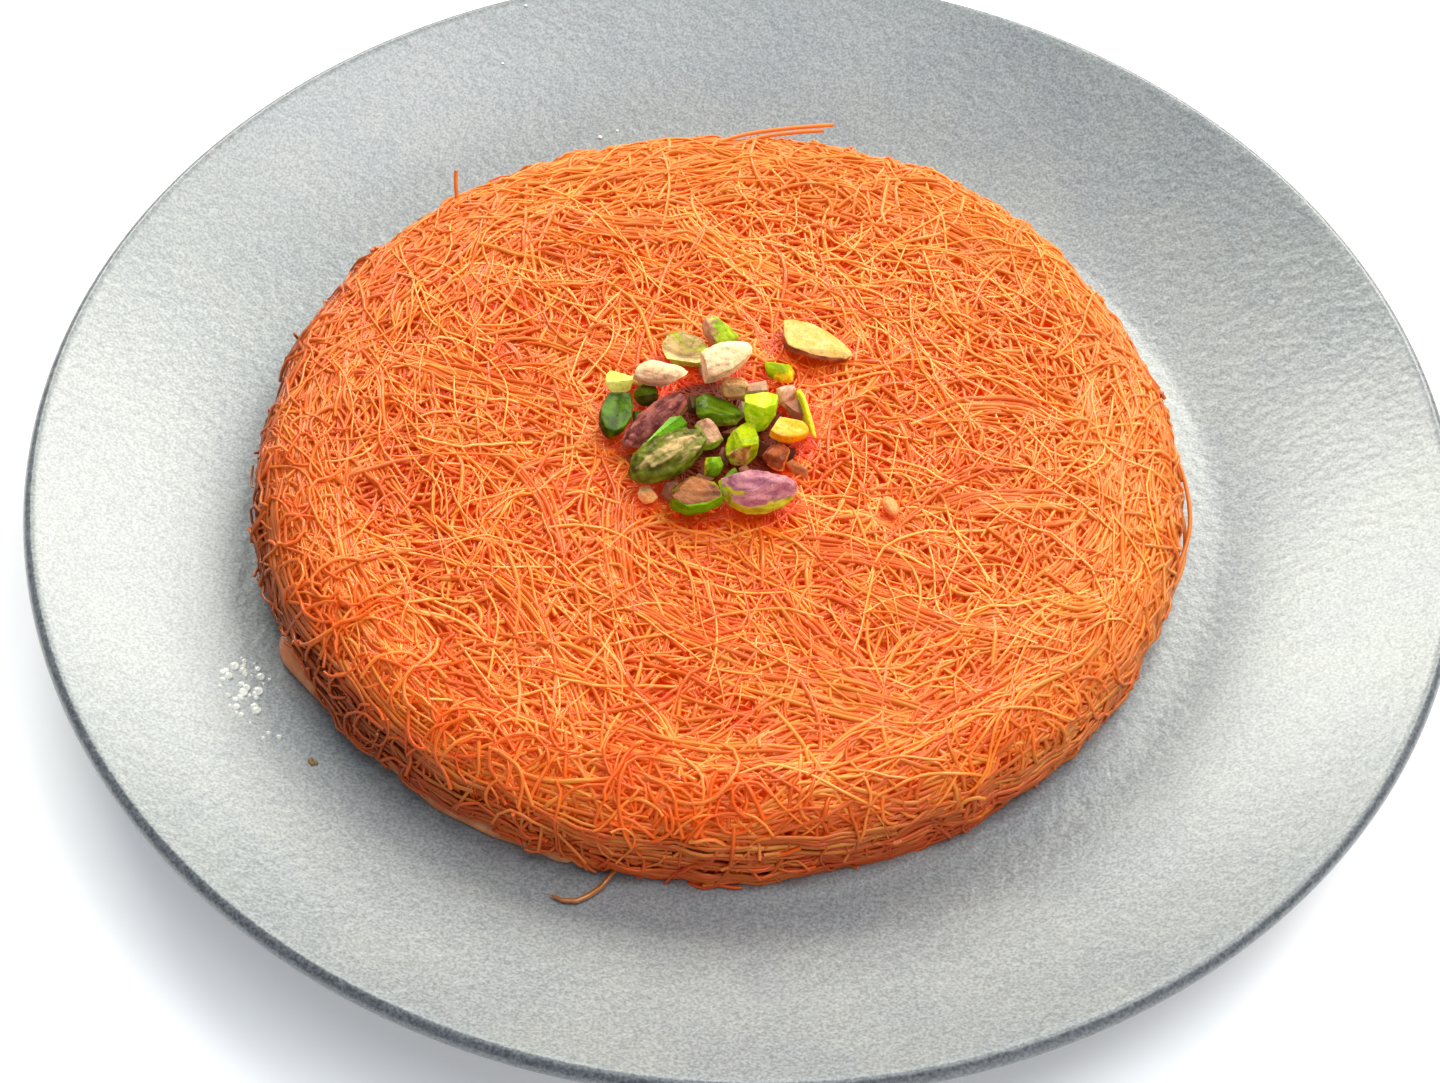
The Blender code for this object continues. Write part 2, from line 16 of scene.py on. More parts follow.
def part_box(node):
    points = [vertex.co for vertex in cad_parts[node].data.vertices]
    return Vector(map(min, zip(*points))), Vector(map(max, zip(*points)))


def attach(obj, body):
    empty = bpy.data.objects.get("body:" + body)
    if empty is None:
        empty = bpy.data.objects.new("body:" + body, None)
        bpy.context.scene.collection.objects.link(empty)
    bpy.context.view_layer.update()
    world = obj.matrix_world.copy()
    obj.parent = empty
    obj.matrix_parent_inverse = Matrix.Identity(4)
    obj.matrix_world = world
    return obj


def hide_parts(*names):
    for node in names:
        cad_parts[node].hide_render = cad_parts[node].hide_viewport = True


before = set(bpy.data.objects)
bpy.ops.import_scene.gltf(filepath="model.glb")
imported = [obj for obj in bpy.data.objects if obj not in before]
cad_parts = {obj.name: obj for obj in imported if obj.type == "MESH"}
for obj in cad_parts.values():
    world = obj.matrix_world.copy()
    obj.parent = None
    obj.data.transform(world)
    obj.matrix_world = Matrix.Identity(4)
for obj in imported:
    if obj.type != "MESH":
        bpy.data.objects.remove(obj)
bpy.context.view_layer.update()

MM = 0.001


# %% [markdown]
# ## Camera
# The photograph is taken from the near side, well above the table, with the plate almost filling the
# frame. Three directions make the camera's matrix: to its right, up, and back from what it looks at. The
# usual way is to let it track a point, but this camera also leans a little, which a matrix can say.

# %% Camera
CAMERA_PITCH = math.radians(52.62)
CAMERA_ROLL = math.radians(2.22)
CAMERA_DISTANCE = 0.390
CAMERA_TARGET = Vector((-0.00371, -0.02556, 0.022))
LENS_MM, SENSOR_MM = 57.5, 36.0
NEAREST_SEEN, FARTHEST_SEEN = 0.01, 20.0

forward = Vector((0.0, math.cos(CAMERA_PITCH), -math.sin(CAMERA_PITCH)))
level = Vector((1.0, 0.0, 0.0))
upward = level.cross(forward)
to_right = math.cos(CAMERA_ROLL) * level + math.sin(CAMERA_ROLL) * upward
to_top = -math.sin(CAMERA_ROLL) * level + math.cos(CAMERA_ROLL) * upward
lens = bpy.data.cameras.new("camera")
lens.lens, lens.sensor_width = LENS_MM, SENSOR_MM
lens.clip_start, lens.clip_end = NEAREST_SEEN, FARTHEST_SEEN
camera = bpy.data.objects.new("camera", lens)
bpy.context.scene.collection.objects.link(camera)
turn = Matrix((to_right, to_top, -forward)).transposed()
camera.matrix_world = Matrix.Translation(CAMERA_TARGET - CAMERA_DISTANCE * forward) @ turn.to_4x4()
bpy.context.scene.camera = camera
print("camera at", [round(v, 3) for v in camera.location])

# %% [markdown]
# ## Node helpers
# Every finish below is built from nodes in code. A few short helpers keep those cells readable: one adds
# a node with its settings, others mix, spread or multiply what a node gives, and one turns a colour as it
# looks on a screen into the linear values that a shader needs.

# %% Node helpers
def seen(red, green, blue):
    """Linear colour of what looks like this on a screen, each part from 0 to 255."""
    parts = []
    for part in (red, green, blue):
        share = part / 255
        parts.append(share / 12.92 if share <= 0.04045 else ((share + 0.055) / 1.055) ** 2.4)
    return (*parts, 1.0)


def add_node(tree, kind, settings=None, values=None):
    """Adds a node, then sets its properties and its input values."""
    node = tree.nodes.new(kind)
    for name, value in (settings or {}).items():
        setattr(node, name, value)
    for name, value in (values or {}).items():
        node.inputs[name].default_value = value
    return node


def mix_colour(tree, share, first, second):
    """Mixes two colours, each a value or a socket, by a share that is a value or a socket."""
    node = add_node(tree, "ShaderNodeMix", {"data_type": "RGBA"})
    for socket, value in zip((node.inputs[0], node.inputs[6], node.inputs[7]), (share, first, second)):
        if isinstance(value, bpy.types.NodeSocket):
            tree.links.new(value, socket)
        else:
            socket.default_value = value
    return node.outputs[2]


def spread(tree, value, low, high, to_low=0.0, to_high=1.0):
    """Turns a socket's range from low to high into another range, smoothly and clamped."""
    node = add_node(tree, "ShaderNodeMapRange", {"interpolation_type": "SMOOTHSTEP"})
    for name, number in zip(("From Min", "From Max", "To Min", "To Max"), (low, high, to_low, to_high)):
        node.inputs[name].default_value = number
    tree.links.new(value, node.inputs["Value"])
    return node.outputs["Result"]


def times(tree, first, second):
    """The product of two sockets."""
    node = add_node(tree, "ShaderNodeMath", {"operation": "MULTIPLY"})
    tree.links.new(first, node.inputs[0])
    tree.links.new(second, node.inputs[1])
    return node.outputs[0]


def start_finish(name, **values):
    """A new material with its Principled shader, and constants set on the shader's own sockets."""
    finish = bpy.data.materials.new(name)
    finish.use_nodes = True
    shader = finish.node_tree.nodes["Principled BSDF"]
    for socket, value in values.items():
        shader.inputs[socket.replace("_", " ")].default_value = value
    return finish, finish.node_tree, shader


def attribute(tree, name):
    """A node that reads a field of the piece's mesh."""
    return add_node(tree, "ShaderNodeAttribute", {"attribute_name": name})


print("helpers ready")

# %% [markdown]
# ## Grain
# Pastry, nut, cheese and glaze all have small uneven colour and relief. One node group makes it, so that
# each finish only says how fine it is. It reads Object coordinates, so the grain stays on the piece. Two
# helpers use it: one gives a surface its relief, and one makes a plain finish that lies between two colours.

# %% Grain group
grain_group = bpy.data.node_groups.new("grain", "ShaderNodeTree")
grain_group.interface.new_socket("Size", in_out="INPUT", socket_type="NodeSocketFloat")
grain_group.interface.new_socket("Roughness", in_out="INPUT", socket_type="NodeSocketFloat")
grain_group.interface.new_socket("Value", in_out="OUTPUT", socket_type="NodeSocketFloat")
grain_in = add_node(grain_group, "NodeGroupInput")
grain_out = add_node(grain_group, "NodeGroupOutput")
place = add_node(grain_group, "ShaderNodeTexCoord")
scale = add_node(grain_group, "ShaderNodeMath", {"operation": "DIVIDE"})
scale.inputs[0].default_value = 1.0
cloud = add_node(grain_group, "ShaderNodeTexNoise", None, {"Detail": 3.0})
grain_group.links.new(grain_in.outputs["Size"], scale.inputs[1])
grain_group.links.new(place.outputs["Object"], cloud.inputs["Vector"])
grain_group.links.new(scale.outputs[0], cloud.inputs["Scale"])
grain_group.links.new(grain_in.outputs["Roughness"], cloud.inputs["Roughness"])
grain_group.links.new(cloud.outputs["Fac"], grain_out.inputs["Value"])


def grain(tree, size, roughness=0.55):
    """Places the grain group in a material. Size is in metres."""
    node = add_node(tree, "ShaderNodeGroup", {"node_tree": grain_group})
    node.inputs["Size"].default_value = size
    node.inputs["Roughness"].default_value = roughness
    return node.outputs["Value"]


def relief_of(tree, shader, height, strength, distance):
    """Feeds a height through a Bump node to the shader's normal."""
    bump = add_node(tree, "ShaderNodeBump", None, {"Strength": strength, "Distance": distance})
    tree.links.new(height, bump.inputs["Height"])
    tree.links.new(bump.outputs["Normal"], shader.inputs["Normal"])


def grained_finish(name, size, first, second, contrast=None, **values):
    """A finish that goes from one colour to another by a grain, more sharply where a contrast is given."""
    finish, tree, shader = start_finish(name, **values)
    share = grain(tree, size)
    if contrast:
        share = spread(tree, share, *contrast)
    tree.links.new(mix_colour(tree, share, first, second), shader.inputs["Base Color"])
    return finish, tree, shader


print("group", grain_group.name)

# %% [markdown]
# ## Piece helpers
# A finished piece is a plain mesh at the origin that moves with the body "root", takes its finish when one
# is given, and hides the solids that it stands for.

# %% Piece helpers
def add_piece(name, mesh, finish=None, stands_for=()):
    """Links a mesh as a piece of the object."""
    if finish:
        mesh.materials.clear()
        mesh.materials.append(finish)
    piece = bpy.data.objects.new(name, mesh)
    bpy.context.scene.collection.objects.link(piece)
    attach(piece, "root")
    if stands_for:
        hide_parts(*stands_for)
    return piece


def mesh_from(name, points, faces=(), edges=(), **fields):
    """A mesh from arrays, with one number or colour for each point in every named field."""
    mesh = bpy.data.meshes.new(name)
    mesh.from_pydata(points, edges, faces)
    for field, values in fields.items():
        kind = "FLOAT_COLOR" if values.ndim == 2 else "FLOAT"
        layer = mesh.attributes.new(field, kind, "POINT")
        layer.data.foreach_set("color" if values.ndim == 2 else "value", values.astype(np.float32).ravel())
    if len(faces):
        mesh.shade_smooth()
    mesh.update()
    return mesh


def closed_faces(rows, columns):
    """Faces of a closed round form: between its rings of points, then from two middles to the end rings."""
    i, j = np.meshgrid(np.arange(rows - 1), np.arange(columns), indexing="ij")
    k = (j + 1) % columns
    corners = (i * columns + j, (i + 1) * columns + j, (i + 1) * columns + k, i * columns + k)
    faces = np.stack(corners, -1).reshape(-1, 4).tolist()
    first_middle, last_ring = rows * columns, (rows - 1) * columns
    for here in range(columns):
        after = (here + 1) % columns
        faces.append([first_middle, here, after])
        faces.append([first_middle + 1, last_ring + after, last_ring + here])
    return faces


def evaluated(piece):
    """The mesh that an object's modifiers make, with the object removed."""
    graph = bpy.context.evaluated_depsgraph_get()
    mesh = bpy.data.meshes.new_from_object(piece.evaluated_get(graph))
    bpy.data.objects.remove(piece, do_unlink=True)
    return mesh


print("piece helpers ready")

# %% [markdown]
# ## Plate
# A coupe plate is thrown on a wheel, so its shape is one line turned round its axis. The line runs from
# the middle over the rise to the lip, round it, and back under to the foot ring. Spinning that line
# gives an exact round shape with few decisions. A field marks the lip and the outer wall, where the
# glaze breaks darker.

# %% Plate shape
PLATE_HEIGHT, FLOOR_Z, FLOOR_RADIUS = 22.0 * MM, 6.0 * MM, 85.0 * MM
LIP_ROUND, CREST_RADIUS, PLATE_THICKNESS = 1.8 * MM, 123.2 * MM, 4.4 * MM
FOOT_INNER, FOOT_OUTER, FOOT_FLARE = 66.0 * MM, 73.5 * MM, 2.0 * MM
PLATE_SEGMENTS = 240


def plate_top(r):
    """Height of the plate's upper face at this distance from its centre."""
    share = np.clip((np.asarray(r) - FLOOR_RADIUS) / (CREST_RADIUS - FLOOR_RADIUS), 0, 1)
    return FLOOR_Z + (PLATE_HEIGHT - FLOOR_Z) * share**1.5


across_floor = np.linspace(0.5 * MM, FLOOR_RADIUS, 30)
across_slope = np.linspace(FLOOR_RADIUS, CREST_RADIUS, 40)[1:]
inside = np.concatenate([across_floor, across_slope])
upper = np.stack([inside, plate_top(inside)], -1)
bends = np.radians(np.linspace(80, -72, 14))
lip_z = PLATE_HEIGHT - LIP_ROUND
lip = np.stack([CREST_RADIUS + LIP_ROUND * np.cos(bends), lip_z + LIP_ROUND * np.sin(bends)], -1)
back = np.linspace(CREST_RADIUS - 5 * MM, FLOOR_RADIUS, 16)
under = np.stack([back, plate_top(back) - PLATE_THICKNESS], -1)
base = FLOOR_Z - PLATE_THICKNESS
foot = np.array([
    (FOOT_OUTER + FOOT_FLARE, base), (FOOT_OUTER + 0.5 * MM, 0.5 * MM), (FOOT_OUTER, 0.0), (FOOT_INNER, 0.0),
    (FOOT_INNER - 0.5 * MM, 0.5 * MM), (FOOT_INNER - FOOT_FLARE, base), (0.5 * MM, base),
])
line = np.concatenate([upper, lip, under, foot])
crest_edge = np.clip((upper[:, 0] - CREST_RADIUS + 0.4 * MM) / (0.8 * MM), 0, 0.3)
wall = np.concatenate([crest_edge, np.ones(len(line) - len(upper))])
angles = np.linspace(0, math.tau, PLATE_SEGMENTS, endpoint=False)
turned = np.stack([
    line[:, :1] * np.cos(angles), line[:, :1] * np.sin(angles), np.repeat(line[:, 1:], PLATE_SEGMENTS, 1),
], -1).reshape(-1, 3)
turned = np.concatenate([turned, [(0, 0, FLOOR_Z), (0, 0, base)]])
turned_wall = np.append(np.repeat(wall, PLATE_SEGMENTS), [0.0, 1.0])
plate_mesh = mesh_from("stoneware_plate", turned, closed_faces(len(line), PLATE_SEGMENTS), wall=turned_wall)
print("plate:", len(plate_mesh.polygons), "faces")

# %% [markdown]
# ## Stoneware glaze
# The glaze is a satin grey, speckled light and dark about half a millimetre apart, with a pebbled skin
# like orange peel. A fine and a broad grain make the colour, and a third of 2 mm makes the relief. The
# pebbles matter more than the colour, because the light that slides over the slopes breaks up on them.

# %% Stoneware glaze
glaze, tree, shader = start_finish("stoneware_glaze", Roughness=0.37, Coat_Weight=0.8, Coat_Roughness=0.29)
SPECK_SIZE, CLOUD_SIZE, PEBBLE_SIZE, PEBBLE_HEIGHT = 0.5 * MM, 14 * MM, 2.0 * MM, 0.42 * MM
fine = spread(tree, grain(tree, SPECK_SIZE, 0.6), 0.3, 0.7)
broad = spread(tree, grain(tree, CLOUD_SIZE, 0.5), 0.3, 0.7)
cool_body = mix_colour(tree, fine, seen(113, 119, 123), seen(155, 160, 161))
warm_body = mix_colour(tree, fine, seen(121, 126, 126), seen(161, 165, 163))
body_colour = mix_colour(tree, broad, cool_body, warm_body)
edge_colour = mix_colour(tree, fine, seen(58, 62, 66), seen(108, 113, 117))
glaze_colour = mix_colour(tree, attribute(tree, "wall").outputs["Fac"], body_colour, edge_colour)
tree.links.new(glaze_colour, shader.inputs["Base Color"])
relief_of(tree, shader, grain(tree, PEBBLE_SIZE, 0.45), 0.8, PEBBLE_HEIGHT)
add_piece("stoneware_plate", plate_mesh, glaze, ["plate"])
print("finish", glaze.name)

# %% [markdown]
# ## The crust as an unrolled disc
# The cake is a disc with soft edges. It helps to think of the crust as a flat round cloth: a point of the
# cloth has a place across and along, and the outer part of the cloth bends over the edge down to the
# foot. Strands are drawn on the flat cloth and then carried to the cake, so that they lie on its top
# and its side alike.

# %% Unrolled crust
CAKE_X, CAKE_Y = -3.8 * MM, -1.6 * MM
CAKE_RADIUS, CAKE_HEIGHT = 80.6 * MM, 17.0 * MM
EDGE_INSET, EDGE_HALF_HEIGHT = 9.0 * MM, 10.4 * MM
FOOT_ANGLE = math.radians(-37.0)
FOOT_SLUMP = 1.6 * MM
OUTLINE_WAVES = {2: (0.9 * MM, 0.4 * MM), 3: (-0.45 * MM, 0.05 * MM), 4: (-0.15 * MM, -0.25 * MM)}
PER_RADIAN = (EDGE_INSET + EDGE_HALF_HEIGHT) / 2
CLOTH_REACH = CAKE_RADIUS - EDGE_INSET + (math.pi / 2 - FOOT_ANGLE) * PER_RADIAN


def outline(theta):
    """The cake's largest radius in this direction."""
    waves = (a * np.cos(n * theta) + b * np.sin(n * theta) for n, (a, b) in OUTLINE_WAVES.items())
    return CAKE_RADIUS + sum(waves)


def in_degrees(theta):
    """A direction in degrees from -180 to 180, where -90 is straight to the near side."""
    return np.degrees(np.arctan2(np.sin(theta), np.cos(theta)))


def between(theta, first, last, fade):
    """1 between two directions and 0 outside them, with a smooth change this wide inside each."""
    share = np.clip(np.minimum((in_degrees(theta) - first) / fade, (last - in_degrees(theta)) / fade), 0, 1)
    return share * share * (3 - 2 * share)


def cheese_shown(theta):
    """1 where the cheese shows at the foot and 0 where the crust covers it."""
    return between(theta, -162, -98, 9)


def cheese_flap(theta):
    """1 where the cheese hangs out as a flap, and a quick change to 0 on both sides of it."""
    return np.exp(-(((in_degrees(theta) + 148) / 5.4) ** 4))


def tousled(theta):
    """1 on the near left side, where the crust is loose and frayed, and 0 away from it."""
    return between(theta, -185, -75, 20)


def on_cake(x, y, lift):
    """Carries points of the flat cloth to the cake, each this far out from its plain surface."""
    u, theta = np.hypot(x, y), np.arctan2(y, x)
    past = u - (outline(theta) - EDGE_INSET)
    angle = np.clip(math.pi / 2 - past / PER_RADIAN, FOOT_ANGLE, math.pi / 2)
    slump = FOOT_SLUMP * np.maximum(0, -np.sin(theta)) * np.maximum(0, angle / FOOT_ANGLE)
    r = outline(theta) - EDGE_INSET + (EDGE_INSET + lift) * np.cos(angle) + slump
    r = np.where(past > 0, r, u)
    z = CAKE_HEIGHT - EDGE_HALF_HEIGHT + (EDGE_HALF_HEIGHT + lift) * np.sin(angle)
    z = np.where(past > 0, z, CAKE_HEIGHT + lift)
    return np.stack([CAKE_X + r * np.cos(theta), CAKE_Y + r * np.sin(theta), FLOOR_Z + z], -1)


print("cloth reaches", round(CLOTH_REACH * 1000, 1), "mm from the middle")

# %% [markdown]
# ## Mounds and hollows
# The top isn't flat. It has the low mounds that the solid has, smaller tousled ones, and a few hollows
# that are wet with syrup, such as beside the pistachio slice and near the right edge. The mounds are
# worked out once on a square grid of the cloth, and every strand reads its height from there.

# %% Mounds and hollows
GRID_STEP = 1.2 * MM
GRID_HALF = 80
# Each row: place across and along the cloth, width, and depth, in mm
HOLLOWS = (
    (14, 13, 7, 1.5), (50, 40, 5, 1.9), (27, -46, 4, 0.9), (-55, -16, 5, 0.9), (-9, -76, 6, 1.0),
    (4, -25, 6, 0.8), (-18, -10, 5, 0.7), (-30, 38, 5, 0.9), (58, 8, 5, 0.9), (-62, 18, 5, 0.9),
    (36, -20, 4, 0.8), (-32, -50, 5, 1.0), (60, -48, 6, 1.1), (-84, 10, 6, 1.0), (70, 44, 6, 0.9),
    (12, 60, 5, 0.8),
)

ticks = np.arange(-GRID_HALF, GRID_HALF + 1) * GRID_STEP
grid_x, grid_y = np.meshgrid(ticks, ticks, indexing="ij")
at_surface = on_cake(grid_x, grid_y, 0.0) - np.array([CAKE_X, CAKE_Y, 0.0])
mounds = np.empty(grid_x.shape)
for place_in_grid in np.ndindex(grid_x.shape):
    spot = Vector(at_surface[place_in_grid])
    wide_spot, small_spot = spot / (9 * MM), spot / (3.4 * MM)
    wide_mound = 0.55 * (noise.noise(wide_spot) + 0.5 * noise.noise(wide_spot * 2.3))
    mounds[place_in_grid] = wide_mound + 0.85 * noise.noise(small_spot)
for x, y, wide, deep in HOLLOWS:
    mounds -= deep * np.exp(-((grid_x / MM - x) ** 2 + (grid_y / MM - y) ** 2) / wide**2)
mounds *= MM


def on_grid(field, x, y):
    """Reads a field of the cloth between its grid points."""
    i = np.clip(x / GRID_STEP + GRID_HALF, 0, 2 * GRID_HALF - 0.001)
    j = np.clip(y / GRID_STEP + GRID_HALF, 0, 2 * GRID_HALF - 0.001)
    a, b = i.astype(int), j.astype(int)
    s, t = i - a, j - b
    near = field[a, b] * (1 - t) + field[a, b + 1] * t
    far = field[a + 1, b] * (1 - t) + field[a + 1, b + 1] * t
    return near * (1 - s) + far * s


print("mounds from", round(mounds.min() * 1000, 2), "to", round(mounds.max() * 1000, 2), "mm")

# %% [markdown]
# ## Room under the nuts
# The nuts lie on the mat and aren't pierced by it, so near them every strand stays low. The frame gives
# each nut's box, and an oval in the box says how far a strand may rise there. The mat gets painted shade
# under them and between the nuts of the heap.

# %% Room under the nuts
NUT_CLEARANCE = 0.3 * MM
HEAP_X, HEAP_Y, HEAP_RADIUS = -1.0 * MM, -1.8 * MM, 15.5 * MM
NUT_NAMES = [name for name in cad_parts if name.startswith("nut_")]
nut_boxes = np.array([[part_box(name)[0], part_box(name)[1]] for name in NUT_NAMES])
nut_middles = nut_boxes.mean(1)
nut_halves = (nut_boxes[:, 1] - nut_boxes[:, 0]) / 2


def headroom(x, y):
    """How far a strand's middle may rise over the cake's plain surface here, to pass under the nuts."""
    least = np.full(np.shape(x), 9 * MM)
    for middle, half in zip(nut_middles, nut_halves):
        away = np.hypot((x + CAKE_X - middle[0]) / half[0], (y + CAKE_Y - middle[1]) / half[1]) - 1
        least = np.minimum(least, np.maximum(away, 0) * min(half[0], half[1]) * 0.5 - NUT_CLEARANCE)
    return least


def under_nuts(x, y):
    """1 between the nuts of the heap, where the mat gets painted shade, and less under a nut on its own."""
    in_heap = np.clip((1 - np.hypot(x - HEAP_X, y - HEAP_Y) / HEAP_RADIUS) / 0.2, 0, 1)
    below = np.clip(1 - (headroom(x, y) + NUT_CLEARANCE) / (0.5 * MM), 0, 1)
    return np.maximum(in_heap, 0.35 * below)


print("nuts to pass under:", len(NUT_NAMES))

# %% [markdown]
# ## Pastry finish
# Baked in butter and dyed orange, the strands glow where light goes through them, a glow that is
# painted on as emission. They turn redder where they lie deep in the mat, and darker there as painted
# shade. Each strand has its own tint, a second field says how deep each point lies, and broad patches are
# lighter or deeper. The place of a point turns the foot towards a foot colour of its own, paints shade on
# the low left side and darker shade at its left edge, lightens the right side, partly for its paler frayed
# strands and partly as painted light, and lightens the far side as painted light. Deep gaps low on the
# side and the mat between the nuts get painted shade. Syrup is a clear coat, except in the shade between
# the nuts. One function makes it all, so that crisp, soaked and pale pastry and that of the side differ
# only in their colours and their shine.

# %% Pastry finish
# Browns of painted shade: one for the cake's left edge, one for deep gaps low on its side, one between the
# nuts
LEFT_EDGE_SHADE_BROWN, LOW_GAP_SHADE_BROWN, SHADE_BROWN = seen(178, 88, 18), seen(104, 36, 8), seen(104, 38, 8)
BLACK = (0.0, 0.0, 0.0, 1.0)


# left is the colour of the painted shade on the cake's low left side
def pastry_finish(name, deep, middle, light, brown, left=seen(136, 46, 6), **values):
    """A pastry finish from its deep, middle, light and foot colours, and the painted shade of its low left.
    """
    finish, tree, shader = start_finish(name, **values)
    tint = attribute(tree, "tint").outputs["Fac"]
    depth = attribute(tree, "depth").outputs["Fac"]
    axes = add_node(tree, "ShaderNodeSeparateXYZ")
    tree.links.new(add_node(tree, "ShaderNodeTexCoord").outputs["Object"], axes.inputs[0])
    x, y, z = (axes.outputs[axis] for axis in "XYZ")

    light_patches = spread(tree, grain(tree, 6 * MM), 0.5, 0.75, 0.0, 0.5)
    deep_patches = spread(tree, grain(tree, 9 * MM), 0.52, 0.32, 0.0, 0.4)
    at_foot = spread(tree, z, 18 * MM, 8 * MM, 0.0, 0.5)
    # Painted shade on the low left side, and darker painted shade at the cake's left edge
    painted_shade_low_left = times(tree, spread(tree, x, -24 * MM, -72 * MM, 0.0, 0.85), spread(tree, z, 25 * MM, 16 * MM))
    painted_shade_left_edge = spread(tree, x, -60 * MM, -84 * MM, 0.0, 0.5)
    # Painted light on the right side, where the strands are also paler and frayed, and on the far side
    frayed_and_lit_right = spread(tree, x, 25 * MM, 82 * MM, 0.0, 0.5)
    lit_far_side = spread(tree, y, 22 * MM, 72 * MM, 0.0, 0.5)
    # Painted shade in the deep gaps low on the side, and in the shade between the nuts
    painted_shade_low_gaps = times(tree, spread(tree, z, 19 * MM, 10 * MM, 0.0, 0.9), spread(tree, depth, 0.15, 0.8))
    in_shade = spread(tree, depth, 1.15, 1.9, 0.0, 0.92)

    colour = mix_colour(tree, spread(tree, tint, 0.45, 1.0), middle, light)
    # Each share mixes in a colour: random patches, depth, whose darkening is painted shade, the foot, then
    # painted shade and light by place
    for share, towards in (
        (light_patches, light), (deep_patches, deep), (spread(tree, depth, 0.0, 0.9), deep), (at_foot, brown),
        (painted_shade_low_left, left), (painted_shade_left_edge, LEFT_EDGE_SHADE_BROWN), (frayed_and_lit_right, light), (lit_far_side, light),
        (painted_shade_low_gaps, LOW_GAP_SHADE_BROWN), (in_shade, SHADE_BROWN),
    ):
        colour = mix_colour(tree, share, colour, towards)
    tree.links.new(colour, shader.inputs["Base Color"])

    # A painted glow stands for light that passes through the strands; it is taken out low on the side, on the
    # low left and between the nuts
    glow = mix_colour(tree, spread(tree, depth, 0.0, 0.8), middle, deep)
    for mask in (spread(tree, z, 21 * MM, 14 * MM), painted_shade_low_left, in_shade):
        glow = mix_colour(tree, mask, glow, BLACK)
    tree.links.new(glow, shader.inputs["Emission Color"])
    shine = spread(tree, depth, 1.0, 1.5, values["Coat_Weight"], 0.0)
    tree.links.new(shine, shader.inputs["Coat Weight"])
    relief_of(tree, shader, grain(tree, 0.5 * MM), 0.25, 0.15 * MM)
    return finish


pastry = pastry_finish(
    "crisp_pastry", seen(212, 56, 4), seen(210, 87, 6), seen(226, 141, 48), seen(236, 80, 2),
    Roughness=0.48, Specular_IOR_Level=0.3, Coat_Weight=0.42, Coat_Roughness=0.1, Emission_Strength=0.2,
)
soaked_pastry = pastry_finish(
    "soaked_pastry", seen(234, 62, 4), seen(240, 84, 6), seen(250, 120, 30), seen(190, 70, 6),
    Roughness=0.4, Specular_IOR_Level=0.3, Coat_Weight=0.4, Coat_Roughness=0.06, Emission_Strength=0.3,
)
# Pale hairs: their paler colours and stronger glow are partly painted light shining through them
pale_pastry = pastry_finish(
    "pale_pastry", seen(240, 100, 14), seen(244, 128, 34), seen(250, 168, 76), seen(196, 90, 18),
    Roughness=0.45, Specular_IOR_Level=0.35, Coat_Weight=0.36, Coat_Roughness=0.1, Emission_Strength=0.22,
)
side_pastry = pastry_finish(
    "side_pastry", seen(228, 70, 5), seen(232, 94, 10), seen(240, 140, 54), seen(226, 78, 4),
    left=seen(180, 82, 32),
    Roughness=0.46, Specular_IOR_Level=0.32, Coat_Weight=0.4, Coat_Roughness=0.1, Emission_Strength=0.2,
)
print("finishes", pastry.name, soaked_pastry.name, pale_pastry.name, side_pastry.name)

# %% [markdown]
# ## Dough under the strands
# Between the strands one looks into more strands, pressed and soaked into one mass. A closed skin a
# little under the crust's surface stands for it. It takes the place of the crust's solid, and the
# strands lie in and over it.

# %% Dough
DOUGH_SUNK, DOUGH_BASE_Z = 1.15 * MM, FLOOR_Z + 0.3 * MM
DOUGH_AROUND, DOUGH_OUT = 300, 120
theta = np.linspace(0, math.tau, DOUGH_AROUND, endpoint=False)
u = np.linspace(1 * MM, CLOTH_REACH, DOUGH_OUT)
cloth_u, cloth_theta = np.meshgrid(u, theta, indexing="ij")
cloth_x, cloth_y = cloth_u * np.cos(cloth_theta), cloth_u * np.sin(cloth_theta)
dough_points = on_cake(cloth_x, cloth_y, on_grid(mounds, cloth_x, cloth_y) - DOUGH_SUNK).reshape(-1, 3)
rim = dough_points[-DOUGH_AROUND:].copy()
rim[:, 2] = DOUGH_BASE_Z
top_middle, base_middle = dough_points[:DOUGH_AROUND].mean(0), np.array([CAKE_X, CAKE_Y, DOUGH_BASE_Z])
dough_points = np.concatenate([dough_points, rim, [top_middle, base_middle]])
dough_faces = closed_faces(DOUGH_OUT + 1, DOUGH_AROUND)
# Depth paints the dough as deep mat, darker as painted shade, and darkest under and between the nuts
shade = 0.9 + 0.6 * under_nuts(dough_points[:, 0] - CAKE_X, dough_points[:, 1] - CAKE_Y)
dough_mesh = mesh_from("crust_dough", dough_points, dough_faces, tint=shade * 0.2, depth=shade)
add_piece("crust_dough", dough_mesh, soaked_pastry, ["kunafa_crust"])
print("dough:", len(dough_mesh.polygons), "faces")

# %% [markdown]
# ## Sweeping a strand
# A strand is a thin round thread that follows a line. Geometry Nodes do this for thousands of lines at
# once: the edges of a mesh become curves, a small circle is swept along each, its width comes from a
# field of the line, and a random tint is stored for each curve. Realize Instances and Set Material
# end the tree, and the result is taken as a plain mesh.

# %% Strand sweep
def start_tree(name, taken, made, inputs):
    """A Geometry Nodes tree that takes one geometry and named inputs, and makes one geometry."""
    tree = bpy.data.node_groups.new(name, "GeometryNodeTree")
    tree.interface.new_socket(taken, in_out="INPUT", socket_type="NodeSocketGeometry")
    for socket, kind in inputs.items():
        tree.interface.new_socket(socket, in_out="INPUT", socket_type="NodeSocket" + kind)
    tree.interface.new_socket(made, in_out="OUTPUT", socket_type="NodeSocketGeometry")
    return tree, add_node(tree, "NodeGroupInput"), add_node(tree, "NodeGroupOutput")


